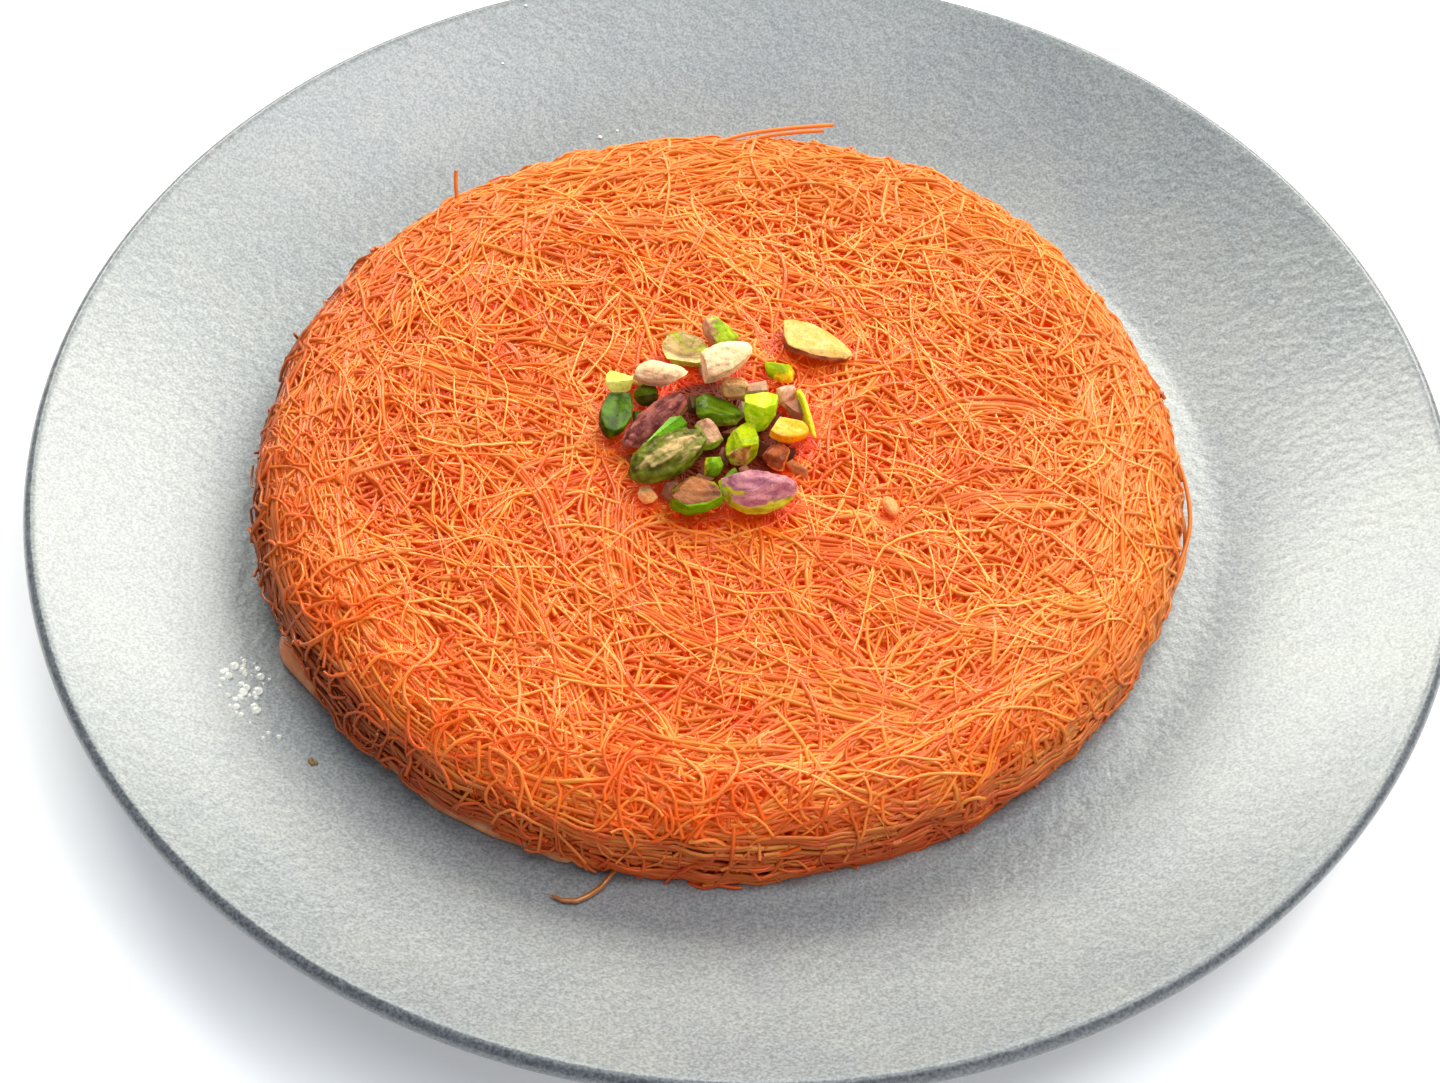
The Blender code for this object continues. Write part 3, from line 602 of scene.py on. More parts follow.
def sweep_tree():
    """The tree that turns each line of a mesh into a thin closed tube."""
    inputs = {"Sides": "Int", "Seed": "Int", "Finish": "Material"}
    tree, source, result = start_tree("strand_sweep", "Lines", "Strands", inputs)
    curves = add_node(tree, "GeometryNodeMeshToCurve")
    per_curve = {"data_type": "FLOAT", "domain": "CURVE"}
    tint = add_node(tree, "GeometryNodeStoreNamedAttribute", per_curve, {"Name": "tint"})
    chance = add_node(tree, "FunctionNodeRandomValue", {"data_type": "FLOAT"})
    ring = add_node(tree, "GeometryNodeCurvePrimitiveCircle", {"mode": "RADIUS"}, {"Radius": 0.5})
    width = add_node(tree, "GeometryNodeInputNamedAttribute", {"data_type": "FLOAT"}, {"Name": "width"})
    sweep = add_node(tree, "GeometryNodeCurveToMesh", None, {"Fill Caps": True})
    smooth = add_node(tree, "GeometryNodeSetShadeSmooth")
    real = add_node(tree, "GeometryNodeRealizeInstances")
    dress = add_node(tree, "GeometryNodeSetMaterial")
    for start, end in (
        (source.outputs["Lines"], curves.inputs["Mesh"]),
        (curves.outputs["Curve"], tint.inputs["Geometry"]),
        (source.outputs["Seed"], chance.inputs["Seed"]),
        (chance.outputs[1], tint.inputs["Value"]),
        (source.outputs["Sides"], ring.inputs["Resolution"]),
        (tint.outputs["Geometry"], sweep.inputs["Curve"]),
        (ring.outputs["Curve"], sweep.inputs["Profile Curve"]),
        (width.outputs["Attribute"], sweep.inputs["Scale"]),
        (sweep.outputs["Mesh"], smooth.inputs["Geometry"]),
        (smooth.outputs["Geometry"], real.inputs["Geometry"]),
        (real.outputs["Geometry"], dress.inputs["Geometry"]),
        (source.outputs["Finish"], dress.inputs["Material"]),
        (dress.outputs["Geometry"], result.inputs["Strands"]),
    ):
        tree.links.new(start, end)
    return tree


strand_sweep = sweep_tree()


def run_tree(name, tree, mesh, **values):
    """Runs a Geometry Nodes tree on a mesh and gives back the plain mesh that it makes."""
    carrier = bpy.data.objects.new(name, mesh)
    bpy.context.scene.collection.objects.link(carrier)
    modifier = carrier.modifiers.new("tree", "NODES")
    modifier.node_group = tree
    for socket in tree.interface.items_tree:
        if socket.in_out == "INPUT" and socket.name in values:
            modifier[socket.identifier] = values[socket.name]
    return evaluated(carrier)


def sweep_strands(name, seed, points, width, depth, sides=4, finish=pastry):
    """Makes one piece from many lines: points is (strands, points on each, 3)."""
    count, steps = points.shape[:2]
    first = (np.arange(count)[:, None] * steps + np.arange(steps - 1)).ravel()
    ends = np.stack([first, first + 1], -1)
    width, depth = (np.broadcast_to(field, (count, steps)).ravel() for field in (width, depth))
    lines = mesh_from(name + "_lines", points.reshape(-1, 3), edges=ends, width=width, depth=depth)
    mesh = run_tree(name, strand_sweep, lines, Sides=sides, Seed=seed, Finish=finish)
    piece = add_piece(name, mesh, None)
    print(name, count, "strands,", sum(len(p.vertices) - 2 for p in mesh.polygons), "triangles")
    return piece


# %% [markdown]
# ## How a strand wanders
# A strand has its middle somewhere on the cloth, and a heading there. Along its way it bends steadily and
# sways a little. Up and down it weaves over and under its neighbours, and its ends dip or stand out. Real
# strands could be dropped by a simulation, but drawn routes are quick and stay where they are wanted.

# %% Strand routes
def wander(rng, x, y, heading, length, bend, sway, steps):
    """Lines on the cloth through (x, y) at their middles, as two arrays of a row for each strand."""
    share = np.linspace(-0.5, 0.5, steps + 1)
    phase, waves = rng.uniform(0, math.tau, (len(x), 1)), rng.uniform(0.5, 1.4, (len(x), 1))
    slow = np.sin(math.tau * waves * share + phase)
    quick = np.sin(math.tau * 2.7 * waves * share + 2 * phase)
    way = heading[:, None] + bend[:, None] * length[:, None] * share
    way = way + sway[:, None] * (slow + 0.5 * quick)
    middle = (way[:, 1:] + way[:, :-1]) / 2
    step = (length / steps)[:, None]
    nothing = np.zeros((len(x), 1))
    across = np.concatenate([nothing, np.cumsum(np.cos(middle) * step, 1)], 1)
    along = np.concatenate([nothing, np.cumsum(np.sin(middle) * step, 1)], 1)
    half = steps // 2
    return x[:, None] + across - across[:, half:half + 1], y[:, None] + along - along[:, half:half + 1]


def weave(rng, count, steps, low, high, wave, end_dip):
    """How far each point of each strand lies over the crust, in metres."""
    share = np.linspace(-0.5, 0.5, steps + 1)
    phase, waves = rng.uniform(0, math.tau, (count, 1)), rng.uniform(1.0, 3.0, (count, 1))
    rise = rng.uniform(low, high, (count, 1)) + wave * np.sin(math.tau * waves * share + phase)
    return (rise - end_dip[:, None] * np.abs(2 * share) ** 3) * MM


def lay(name, seed, x, y, rise, width, sides=4, finish=pastry):
    """Carries woven lines to the cake and sweeps them."""
    u = np.maximum(np.hypot(x, y), 1e-9)
    theta = np.arctan2(y, x)
    # Strands stop a little over the foot, and higher where the cheese shows and hangs out
    reach = CLOTH_REACH - 0.6 * MM - 3.2 * MM * cheese_shown(theta) - 3.4 * MM * cheese_flap(theta)
    inwards = np.minimum(1, reach / u)
    x, y = x * inwards, y * inwards
    plain = on_grid(mounds, x, y) + rise
    lift = np.minimum(plain, headroom(x, y))
    # Deep in the mat, wet round the middle, and painted shade between the nuts
    depth = np.clip(-rise / MM / 0.8, 0, 1)
    wet = np.clip(1.2 - np.hypot(x / MM, (y / MM + 1) * 0.9) / 24, 0, 1)
    depth = np.clip(depth + 0.35 * wet, 0, 1) + 1.5 * under_nuts(x, y)
    sweep_strands(name, seed, on_cake(x, y, lift), width, depth, sides, finish)


def anywhere(rng, count, least, most):
    """Distances and directions of spots spread evenly over the cloth, no nearer or farther than these."""
    u = np.sqrt(rng.uniform(least**2, most**2, count))
    return u, rng.uniform(0, math.tau, count)


def flat(u, theta):
    """The x and y of spots on the cloth from their distances and directions."""
    return u * np.cos(theta), u * np.sin(theta)


print("routes ready")

# %% [markdown]
# ## Curls
# Most strands on top are short pieces, chopped before baking, and they curl tightly. They come in two
# layers: a deep one that fills the mat, and a loose one on top that catches the light.

# %% Curls
def curls(name, seed, count, shortest, longest, low, high, sides):
    """Short curled strands. Their lengths, and how low and high they lie over the crust, are in mm."""
    rng = np.random.default_rng(seed)
    x, y = flat(*anywhere(rng, count, 0.0, CLOTH_REACH - 6 * MM))
    length = rng.uniform(shortest, longest, count) * MM
    bend = rng.choice((-1, 1), count) / (np.exp(rng.uniform(1.0, 3.0, count)) * MM)
    x, y = wander(rng, x, y, rng.uniform(0, math.tau, count), length, bend, rng.uniform(0.1, 0.6, count), 11)
    rise = weave(rng, count, 11, low, high, 0.4, rng.uniform(-0.5, 1.3, count))
    lay(name, seed, x, y, rise, rng.uniform(0.52, 0.94, (count, 1)) * MM, sides)


curls("deep_curls", 11, 2300, 7, 18, -1.0, -0.1, 3)
curls("top_curls", 12, 2150, 9, 24, -0.5, 0.75, 4)

# %% [markdown]
# ## Long arcs
# Longer strands run over the top in wide smooth arcs. Near the rim they follow it, because the pastry is
# pressed into a round tray.

# %% Long arcs
def arcs(name, seed, count):
    """Longer strands in wide arcs, most of which follow the rim where they are near it."""
    rng = np.random.default_rng(seed)
    u, theta = anywhere(rng, count, 0.0, CAKE_RADIUS - 2 * MM)
    x, y = flat(u, theta)
    rimward = np.clip((u / MM - 52) / 22, 0, 1)
    along_rim = theta + math.pi / 2 + rng.normal(0, 0.45, count)
    heading = np.where(rng.uniform(0, 1, count) < rimward * 0.75, along_rim, rng.uniform(0, math.tau, count))
    length = rng.uniform(22, 52, count) * MM
    bend = rng.choice((-1, 1), count) / (rng.uniform(14, 70, count) * MM)
    x, y = wander(rng, x, y, heading, length, bend, rng.uniform(0.1, 0.45, count), 14)
    rise = weave(rng, count, 14, -0.45, 0.8, 0.3, rng.uniform(-0.2, 1.0, count))
    lay(name, seed, x, y, rise, rng.uniform(0.54, 0.94, (count, 1)) * MM)


arcs("long_arcs", 21, 1150)

# %% [markdown]
# ## Bundles
# In places many strands lie side by side like combed hair. A few sweeps are placed where the photograph
# shows them, mostly from the nuts to the lower right, along the near edge and down the near side, and
# shorter ones are spread between them. Each sweep is one guide line with strands on both sides of it.

# %% Bundles
# Each row: where a sweep starts, passes and ends on the cloth, in mm
SWEEPS = (
    ((9, -26), (24, -26), (46, -33)), ((8, -29), (15, -43), (28, -52)), ((16, -28), (34, -39), (57, -44)),
    ((2, -53), (18, -57), (38, -62)), ((2, -48), (22, -53), (43, -59)),
    ((-17, -12), (-17, -30), (-8, -54)), ((-46, -4), (-32, -13), (-25, -33)),
    ((-70, 19), (-50, 11), (-28, 5)), ((-12, 60), (-4, 44), (20, 34)), ((24, 55), (44, 49), (57, 28)),
    ((32, 0), (48, 8), (66, 2)), ((34, -20), (48, -14), (66, -15)), ((-45, -33), (-31, -42), (-27, -60)),
    ((-26, -58), (-4, -67), (28, -64)), ((-20, -31), (-4, -44), (19, -50)),
    ((-66, -18), (-60, -38), (-46, -54)), ((-40, 56), (-20, 48), (-2, 52)),
    ((50, -30), (60, -36), (68, -30)), ((-76, -8), (-74, -34), (-58, -56)),
    ((-84, -16), (-78, -40), (-62, -60)), ((-64, -44), (-52, -62), (-34, -74)),
    ((-66, -56), (-48, -74), (-26, -84)), ((-38, -74), (-14, -83), (12, -85)),
    ((-30, -82), (-4, -90), (24, -87)), ((-8, -80), (18, -82), (42, -74)),
    ((10, -90), (36, -86), (58, -70)), ((34, -76), (56, -66), (72, -46)),
)


def sweep_line(start, middle, end, steps):
    """Points of a smooth arc through three places."""
    t = np.linspace(0, 1, steps + 1)[:, None]
    start, middle, end = (np.array(spot, float) for spot in (start, middle, end))
    handle = 2 * middle - (start + end) / 2
    return ((1 - t) ** 2 * start + 2 * t * (1 - t) * handle + t**2 * end) * MM


def beside(rng, line, strands, spread_out):
    """Strands beside a guide line that drift across it a little, each with its own start and end."""
    steps = len(line) - 1
    way = np.gradient(line, axis=0)
    side = np.stack([-way[:, 1], way[:, 0]], -1) / np.linalg.norm(way, axis=1)[:, None]
    t = np.linspace(0, 1, steps + 1)
    made = []
    for offset in np.linspace(-1, 1, strands):
        shifted, slanted, bowed = rng.normal(0, 0.35), rng.normal(0, 1.3), rng.normal(0, 2.2)
        drift = offset * spread_out + shifted + slanted * (t - 0.5) + bowed * (t - 0.5) ** 2
        route = line + side * drift[:, None] * MM
        start, end = rng.uniform(0, 0.35), rng.uniform(0.65, 1.0)
        at = start + t * (end - start)
        made.append(np.stack([np.interp(at, t, route[:, axis]) for axis in (0, 1)], -1))
    return made


def bundles(name, seed, small):
    """Combed strands beside the placed sweeps, and beside this many short guides between them."""
    rng = np.random.default_rng(seed)
    routes = []
    for start, middle, end in SWEEPS:
        routes += beside(rng, sweep_line(start, middle, end, 14), 12, rng.uniform(1.4, 2.8))
    placed = len(routes)
    u, theta = anywhere(rng, small, 10 * MM, CAKE_RADIUS - 4 * MM)
    x, y = flat(u, theta)
    along_rim = theta + math.pi / 2 + rng.normal(0, 0.3, small)
    heading = np.where(u > 58 * MM, along_rim, rng.uniform(0, math.tau, small))
    bend = rng.choice((-1, 1), small) / (rng.uniform(25, 80, small) * MM)
    length = rng.uniform(18, 42, small) * MM
    guides = np.stack(wander(rng, x, y, heading, length, bend, np.full(small, 0.25), 14), -1)
    for guide in guides:
        routes += beside(rng, guide, rng.integers(4, 8), rng.uniform(0.7, 1.6))
    routes = np.array(routes)
    count = len(routes)
    rise = weave(rng, count, 14, 0.0, 0.62, 0.12, rng.uniform(0.1, 0.8, count))
    rise[:placed] += 0.35 * MM
    middle_x, middle_y = routes[:, 7, 0], routes[:, 7, 1]
    on_side = np.hypot(middle_x, middle_y) > 76 * MM
    rise += 0.5 * MM * tousled(np.arctan2(middle_y, middle_x))[:, None] * on_side[:, None]
    lay(name, seed, routes[..., 0], routes[..., 1], rise, rng.uniform(0.58, 0.98, (count, 1)) * MM)


bundles("bundles", 31, 90)

# %% [markdown]
# ## Hairs
# The finest strands lie loose over everything, in long gentle waves. They catch the light as thin bright
# lines, and their paler finish and stronger glow are partly painted light, for light that shines through
# them. Many are combed to the near right, and those near the rim follow it.

# %% Hairs
def hairs(name, seed, count):
    """The finest strands, half of them combed, apart from those that follow the rim."""
    rng = np.random.default_rng(seed)
    u, theta = anywhere(rng, count, 6 * MM, CAKE_RADIUS - 3 * MM)
    x, y = flat(u, theta)
    combed = np.radians(-35) + rng.normal(0, 0.5, count)
    rimward = np.clip((u / MM - 50) / 22, 0, 1)
    heading = np.where(rng.uniform(0, 1, count) < 0.5, combed, rng.uniform(0, math.tau, count))
    follows_rim = rng.uniform(0, 1, count) < rimward
    heading = np.where(follows_rim, theta + math.pi / 2 + rng.normal(0, 0.4, count), heading)
    bend = rng.choice((-1, 1), count) / (rng.uniform(16, 90, count) * MM)
    length = rng.uniform(14, 38, count) * MM
    x, y = wander(rng, x, y, heading, length, bend, rng.uniform(0.08, 0.4, count), 12)
    rise = weave(rng, count, 12, 0.45, 1.15, 0.2, rng.uniform(0.2, 1.2, count))
    lay(name, seed, x, y, rise, rng.uniform(0.34, 0.6, (count, 1)) * MM, 3, pale_pastry)


hairs("fine_hairs", 35, 900)

# %% [markdown]
# ## Rim and side
# Round the side the strands run with the edge of the tray in long turns, one over the other, with shorter
# curls across them. They make the thick rolled border of the cake.

# %% Rim and side
def rim_strands(name, seed, count):
    """Strands that run round the rim and the side with the edge."""
    rng = np.random.default_rng(seed)
    u, theta = anywhere(rng, count, CAKE_RADIUS - 15 * MM, CLOTH_REACH)
    x, y = flat(u, theta)
    length = rng.uniform(20, 55, count) * MM
    bend = 1 / u * rng.uniform(0.75, 1.25, count)
    heading = theta + math.pi / 2 + rng.normal(0, 0.16, count)
    x, y = wander(rng, x, y, heading, length, bend, rng.uniform(0.02, 0.14, count), 14)
    rise = weave(rng, count, 14, -0.8, 0.6, 0.18, rng.uniform(-0.2, 0.7, count))
    low_down = np.clip((np.hypot(x, y) - CAKE_RADIUS) / (8 * MM), 0, 1)
    rise -= 0.9 * MM * tousled(np.arctan2(y, x)) * low_down * rng.uniform(0, 1, (count, 1))
    lay(name, seed, x, y, rise, rng.uniform(0.52, 0.9, (count, 1)) * MM)


def side_curls(name, seed, count):
    """Loose curls on the rim and the side, more of them on the near side and the left."""
    rng = np.random.default_rng(seed)
    u, theta = anywhere(rng, count, CAKE_RADIUS - 10 * MM, CLOTH_REACH - 1 * MM)
    theta = np.where(rng.uniform(0, 1, count) < 0.4, np.radians(rng.uniform(-180, -85, count)), theta)
    x, y = flat(u, theta)
    length = rng.uniform(9, 22, count) * MM
    bend = rng.choice((-1, 1), count) / (np.exp(rng.uniform(1.0, 2.9, count)) * MM)
    x, y = wander(rng, x, y, rng.uniform(0, math.tau, count), length, bend, rng.uniform(0.1, 0.5, count), 9)
    rise = weave(rng, count, 9, -0.3, 1.0, 0.3, rng.uniform(-0.9, 1.0, count))
    rise += MM * tousled(theta)[:, None] * rng.uniform(0, 1.3, (count, 1))
    lay(name, seed, x, y, rise, rng.uniform(0.46, 0.78, (count, 1)) * MM, 4, side_pastry)


rim_strands("rim_turns", 41, 1500)
side_curls("side_loops", 42, 640)

# %% [markdown]
# ## Loose ends
# A few strands stand clear of the cake and break its outline: one along the near foot, two over the far
# edge, one that points up at the back left, two loops at the right and three at the near left. They are
# placed one by one.

# %% Loose ends
# Each row: the places that one strand passes, in mm from the middle of the plate's foot
STRAYS = (
    ((12.0, -78.4, 8.4), (7.0, -80.6, 7.2), (1.6, -82.0, 7.0), (-4.4, -83.2, 6.9)),
    ((-8.0, 71.4, 22.6), (-2.0, 73.6, 23.3), (6.0, 75.2, 23.8), (15.4, 76.6, 24.0)),
    ((-4.0, 70.6, 22.8), (1.0, 72.6, 23.6), (7.0, 73.6, 24.2), (13.4, 74.2, 24.6)),
    ((-55.0, 50.4, 19.6), (-56.0, 52.6, 22.6), (-56.4, 54.8, 25.0), (-56.4, 56.6, 27.0)),
    ((75.6, 8.0, 16.0), (78.6, -2.0, 14.6), (78.9, -12.0, 13.2), (75.6, -22.0, 12.0)),
    ((75.8, 0.0, 13.0), (78.2, -9.0, 12.0), (77.6, -18.0, 11.2), (73.8, -27.0, 10.6)),
    ((-52.0, -56.0, 13.0), (-55.0, -56.6, 11.2), (-57.4, -55.4, 9.4), (-58.4, -53.0, 8.0)),
    ((-30.0, -74.0, 12.0), (-31.8, -76.0, 10.0), (-34.4, -76.8, 8.4), (-37.2, -75.6, 7.4)),
    ((-42.0, -66.0, 12.4), (-45.2, -68.0, 10.6), (-48.0, -67.4, 8.6), (-49.4, -64.6, 7.4)),
)


def through(places, steps):
    """A smooth line through the places."""
    p = np.array(places, float) * MM
    p = np.concatenate([[2 * p[0] - p[1]], p, [2 * p[-1] - p[-2]]])
    made = []
    for at in np.linspace(0, len(places) - 1, steps + 1):
        i = min(int(at), len(places) - 2)
        t = at - i
        a, b, c, d = p[i:i + 4]
        bowed, twisted = 2 * a - 5 * b + 4 * c - d, 3 * b - a - 3 * c + d
        made.append(0.5 * (2 * b + (c - a) * t + bowed * t**2 + twisted * t**3))
    return made


stray_lines = np.array([through(places, 14) for places in STRAYS])
sweep_strands("loose_ends", 51, stray_lines, 0.8 * MM, 0.0, sides=6)

# %% [markdown]
# ## Cheese
# The cheese has run out under the crust on the near left and set as a smooth tan lip on the plate, with
# one thicker flap that hangs out. It is a thin disc, made as rings of points from its upper middle out
# to the edge and back under. Its edge comes forward where it shows, and small waves keep it from looking
# cut.

# %% Cheese
CHEESE_AROUND = 360
HIDDEN_INSET, LIP_REACH, FLAP_REACH = 6.5 * MM, 7.3 * MM, 1.8 * MM
# Each row: a ring's share of the way to the edge, and its height over the plate's floor in mm
CHEESE_RINGS = (
    (0.02, 3.8), (0.88, 3.8), (0.94, 3.4), (0.975, 3.0), (0.992, 2.2), (1.0, 1.2), (0.995, 0.35),
    (0.98, 0.3), (0.02, 0.3),
)

theta = np.linspace(0, math.tau, CHEESE_AROUND, endpoint=False)
shown, flap = cheese_shown(theta), cheese_flap(theta)
ragged = (0.35 * np.sin(9 * theta + 1.0) + 0.3 * np.sin(23 * theta) + 0.2 * np.sin(41 * theta + 2.0)) * MM
slumped = FOOT_SLUMP * np.maximum(0, -np.sin(theta))
edge = outline(theta) - HIDDEN_INSET + (LIP_REACH + ragged) * shown
edge = edge + slumped * shown * 0.4 + FLAP_REACH * flap
rings = []
for share, high in CHEESE_RINGS:
    swelling = np.where(high > 0.5, 1 - 0.35 * shown * (share > 0.9) + 0.9 * flap, 1)
    z = FLOOR_Z + high * MM * swelling
    x, y = CAKE_X + edge * share * np.cos(theta), CAKE_Y + edge * share * np.sin(theta)
    rings.append(np.stack([x, y, z], -1))
cheese_points = np.concatenate([np.concatenate(rings), [rings[0].mean(0), rings[-1].mean(0)]])
cheese_mesh = mesh_from("cheese_skin", cheese_points, closed_faces(len(rings), CHEESE_AROUND))
set_cheese, tree, shader = grained_finish(
    "set_cheese", 4 * MM, seen(222, 122, 64), seen(244, 168, 112), (0.35, 0.7),
    Roughness=0.38, Coat_Weight=0.4, Coat_Roughness=0.2,
)
relief_of(tree, shader, grain(tree, 2 * MM), 0.4, 0.4 * MM)
add_piece("cheese_skin", cheese_mesh, set_cheese, ["cheese_layer"])
print("cheese:", len(cheese_mesh.polygons), "faces")

# %% [markdown]
# ## Pistachios
# Each bit of nut keeps the place and the cut shape of its solid. A fine voxel skin over a copy of the
# solid gives points enough to round the cut edges and to wrinkle the skin. Which way a point faces says
# whether it is mauve skin or green flesh, as on a chopped nut, and a mottled noise breaks the line
# between them. The colours are stored in a field, and one finish reads it.

# %% Pistachio shapes
NUT_VOXEL, NUT_ROUNDING = 0.19 * MM, 3


def mottle(points, size, seed):
    """A smooth uneven value from about -1 to 1 at each point, with patches of this size."""
    shift = Vector((seed * 3.7, seed * 1.9, seed * 5.3))
    return np.array([noise.noise(Vector(spot) + shift) for spot in points / size]) * 1.6


def fine_copy(node):
    """A closed fine-meshed copy of a solid, with its edges rounded."""
    bm = bmesh.new()
    bm.from_mesh(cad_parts[node].data)
    bmesh.ops.remove_doubles(bm, verts=bm.verts, dist=0.001 * MM)
    mesh = bpy.data.meshes.new(node + "_fine")
    bm.to_mesh(mesh)
    bm.free()
    mesh.materials.clear()
    piece = bpy.data.objects.new(node + "_fine", mesh)
    bpy.context.scene.collection.objects.link(piece)
    remesh = piece.modifiers.new("voxels", "REMESH")
    remesh.mode, remesh.voxel_size = "VOXEL", NUT_VOXEL
    smooth = piece.modifiers.new("rounding", "SMOOTH")
    smooth.factor, smooth.iterations = 0.5, NUT_ROUNDING
    return evaluated(piece)


def soft_step(value, low, high):
    """Goes smoothly from 0 to 1 while the values go from low to high."""
    share = np.clip((value - low) / (high - low), 0, 1)
    return share * share * (3 - 2 * share)


def blend_colours(share, first, second):
    """Goes from the first colour to the second by a share for each point."""
    return first * (1 - share[:, None]) + second * share[:, None]


# Each row: slot, flesh, deeper flesh, skin and darker skin, then the way that the skin faces, how straight
# a point has to face that way to be skin (1 is exactly), and the height of the wrinkles in mm
NUT_LOOKS = {
    "nut_slice": (
        "nut_cream", (238, 190, 114), (216, 168, 78), (172, 88, 50), (120, 50, 30),
        (-0.5, -0.5, -0.7), 0.1, 0.06,
    ),
    "nut_back_green": (
        "nut_green", (178, 208, 48), (142, 170, 34), (222, 162, 128), (178, 124, 92),
        (-0.9, -0.1, 0.1), 0.35, 0.10,
    ),
    "nut_cup": (
        "nut_green", (214, 220, 72), (160, 168, 46), (240, 202, 142), (176, 144, 102),
        (0.0, 0.2, 1.0), 0.86, 0.12,
    ),
    "nut_pale": (
        "nut_cream", (255, 232, 178), (255, 214, 160), (250, 196, 152), (222, 158, 120),
        (-0.2, -0.9, -0.5), 0.35, 0.10,
    ),
    "nut_tan": (
        "nut_cream", (255, 228, 174), (250, 200, 148), (242, 182, 138), (210, 142, 104),
        (0.2, -0.8, -0.5), 0.35, 0.14,
    ),
    "nut_left_tip": (
        "nut_lime", (250, 252, 128), (216, 228, 90), (255, 226, 166), (248, 184, 128),
        (0.2, 0.9, 0.2), 0.6, 0.06,
    ),
    "nut_left_green": (
        "nut_green", (80, 112, 0), (46, 68, 0), (58, 68, 0), (34, 42, 0),
        (-0.9, -0.2, -0.2), 0.4, 0.06,
    ),
    "nut_under_left": (
        "nut_green", (100, 114, 8), (74, 80, 2), (78, 74, 6), (60, 50, 2),
        (0, -1, 0), 0.5, 0.06,
    ),
    "nut_mauve": (
        "nut_skin", (126, 136, 22), (88, 104, 8), (166, 90, 76), (94, 32, 33),
        (-0.35, -0.3, 1.0), -0.35, 0.16,
    ),
    "nut_middle_half": (
        "nut_green", (94, 122, 6), (64, 84, 0), (144, 152, 38), (108, 118, 20),
        (0.1, -0.6, -0.6), 0.5, 0.05,
    ),
    "nut_back_brown": (
        "nut_brown", (222, 162, 92), (172, 116, 60), (240, 186, 122), (168, 114, 66),
        (0, 0, 1), 0.2, 0.12,
    ),
    "nut_purple_back": (
        "nut_skin", (248, 186, 126), (222, 144, 92), (248, 188, 152), (214, 136, 104),
        (0.2, 0, 1), 0.2, 0.10,
    ),
    "nut_small_green": (
        "nut_lime", (164, 182, 6), (130, 148, 0), (250, 206, 30), (216, 176, 16),
        (0.4, -0.6, 0), 0.5, 0.06,
    ),
    "nut_lime_block": (
        "nut_lime", (198, 232, 24), (158, 198, 16), (246, 250, 74), (198, 228, 32),
        (-0.2, -0.4, 1.0), 0.75, 0.07,
    ),
    "nut_sliver_right": (
        "nut_lime", (232, 226, 44), (194, 192, 30), (255, 236, 76), (232, 208, 52),
        (0.8, -0.3, 0.5), 0.4, 0.05,
    ),
    "nut_yellow": (
        "nut_yellow", (250, 168, 14), (238, 140, 4), (249, 200, 92), (240, 176, 38),
        (-0.6, -0.1, 0.8), 0.6, 0.04,
    ),
    "nut_brown_flake": (
        "nut_brown", (244, 140, 74), (196, 96, 44), (184, 96, 54), (130, 60, 28),
        (-0.3, -0.3, 0.8), 0.35, 0.14,
    ),
    "nut_wedge": (
        "nut_lime", (172, 184, 8), (128, 148, 0), (216, 170, 96), (150, 94, 36),
        (0, -0.9, -0.4), 0.62, 0.10,
    ),
    "nut_skin_chip": (
        "nut_skin", (164, 184, 44), (128, 150, 30), (214, 166, 124), (164, 110, 82),
        (0.0, 0.3, 1.0), 0.25, 0.08,
    ),
    "nut_dark_bit": (
        "nut_green", (130, 176, 18), (100, 138, 14), (252, 240, 48), (224, 194, 34),
        (-1.0, -0.2, 0.1), 0.6, 0.05,
    ),
    "nut_block_front": (
        "nut_lime", (124, 174, 0), (90, 144, 0), (168, 104, 60), (112, 58, 30),
        (-0.35, 0.35, 0.9), 0.42, 0.09,
    ),
    "nut_purple_front": (
        "nut_skin", (214, 204, 52), (166, 166, 28), (218, 148, 150), (166, 96, 114),
        (0.3, 0.1, 1.0), 0.12, 0.10,
    ),
    "nut_big_green": (
        "nut_green", (112, 118, 26), (64, 65, 6), (202, 168, 110), (122, 112, 48),
        (0.25, -0.25, 1.0), 0.86, 0.20,
    ),
    "nut_crumb_tan": (
        "nut_cream", (255, 182, 108), (246, 144, 76), (255, 206, 136), (255, 164, 96),
        (0, 0, 1), 0.6, 0.20,
    ),
    "nut_crumb_pale": (
        "nut_cream", (250, 156, 84), (240, 136, 62), (246, 166, 104), (236, 142, 70),
        (0, 0, 1), 0.6, 0.08,
    ),
}
# How deep the middle of the upper face sinks, where a half or a shell of a kernel lies open side up
HOLLOW_NUTS = {
    "nut_cup": 2.1 * MM, "nut_middle_half": 0.6 * MM, "nut_left_green": 0.35 * MM,
    "nut_purple_front": 0.3 * MM,
}
print("looks for", len(NUT_LOOKS), "bits of pistachio")
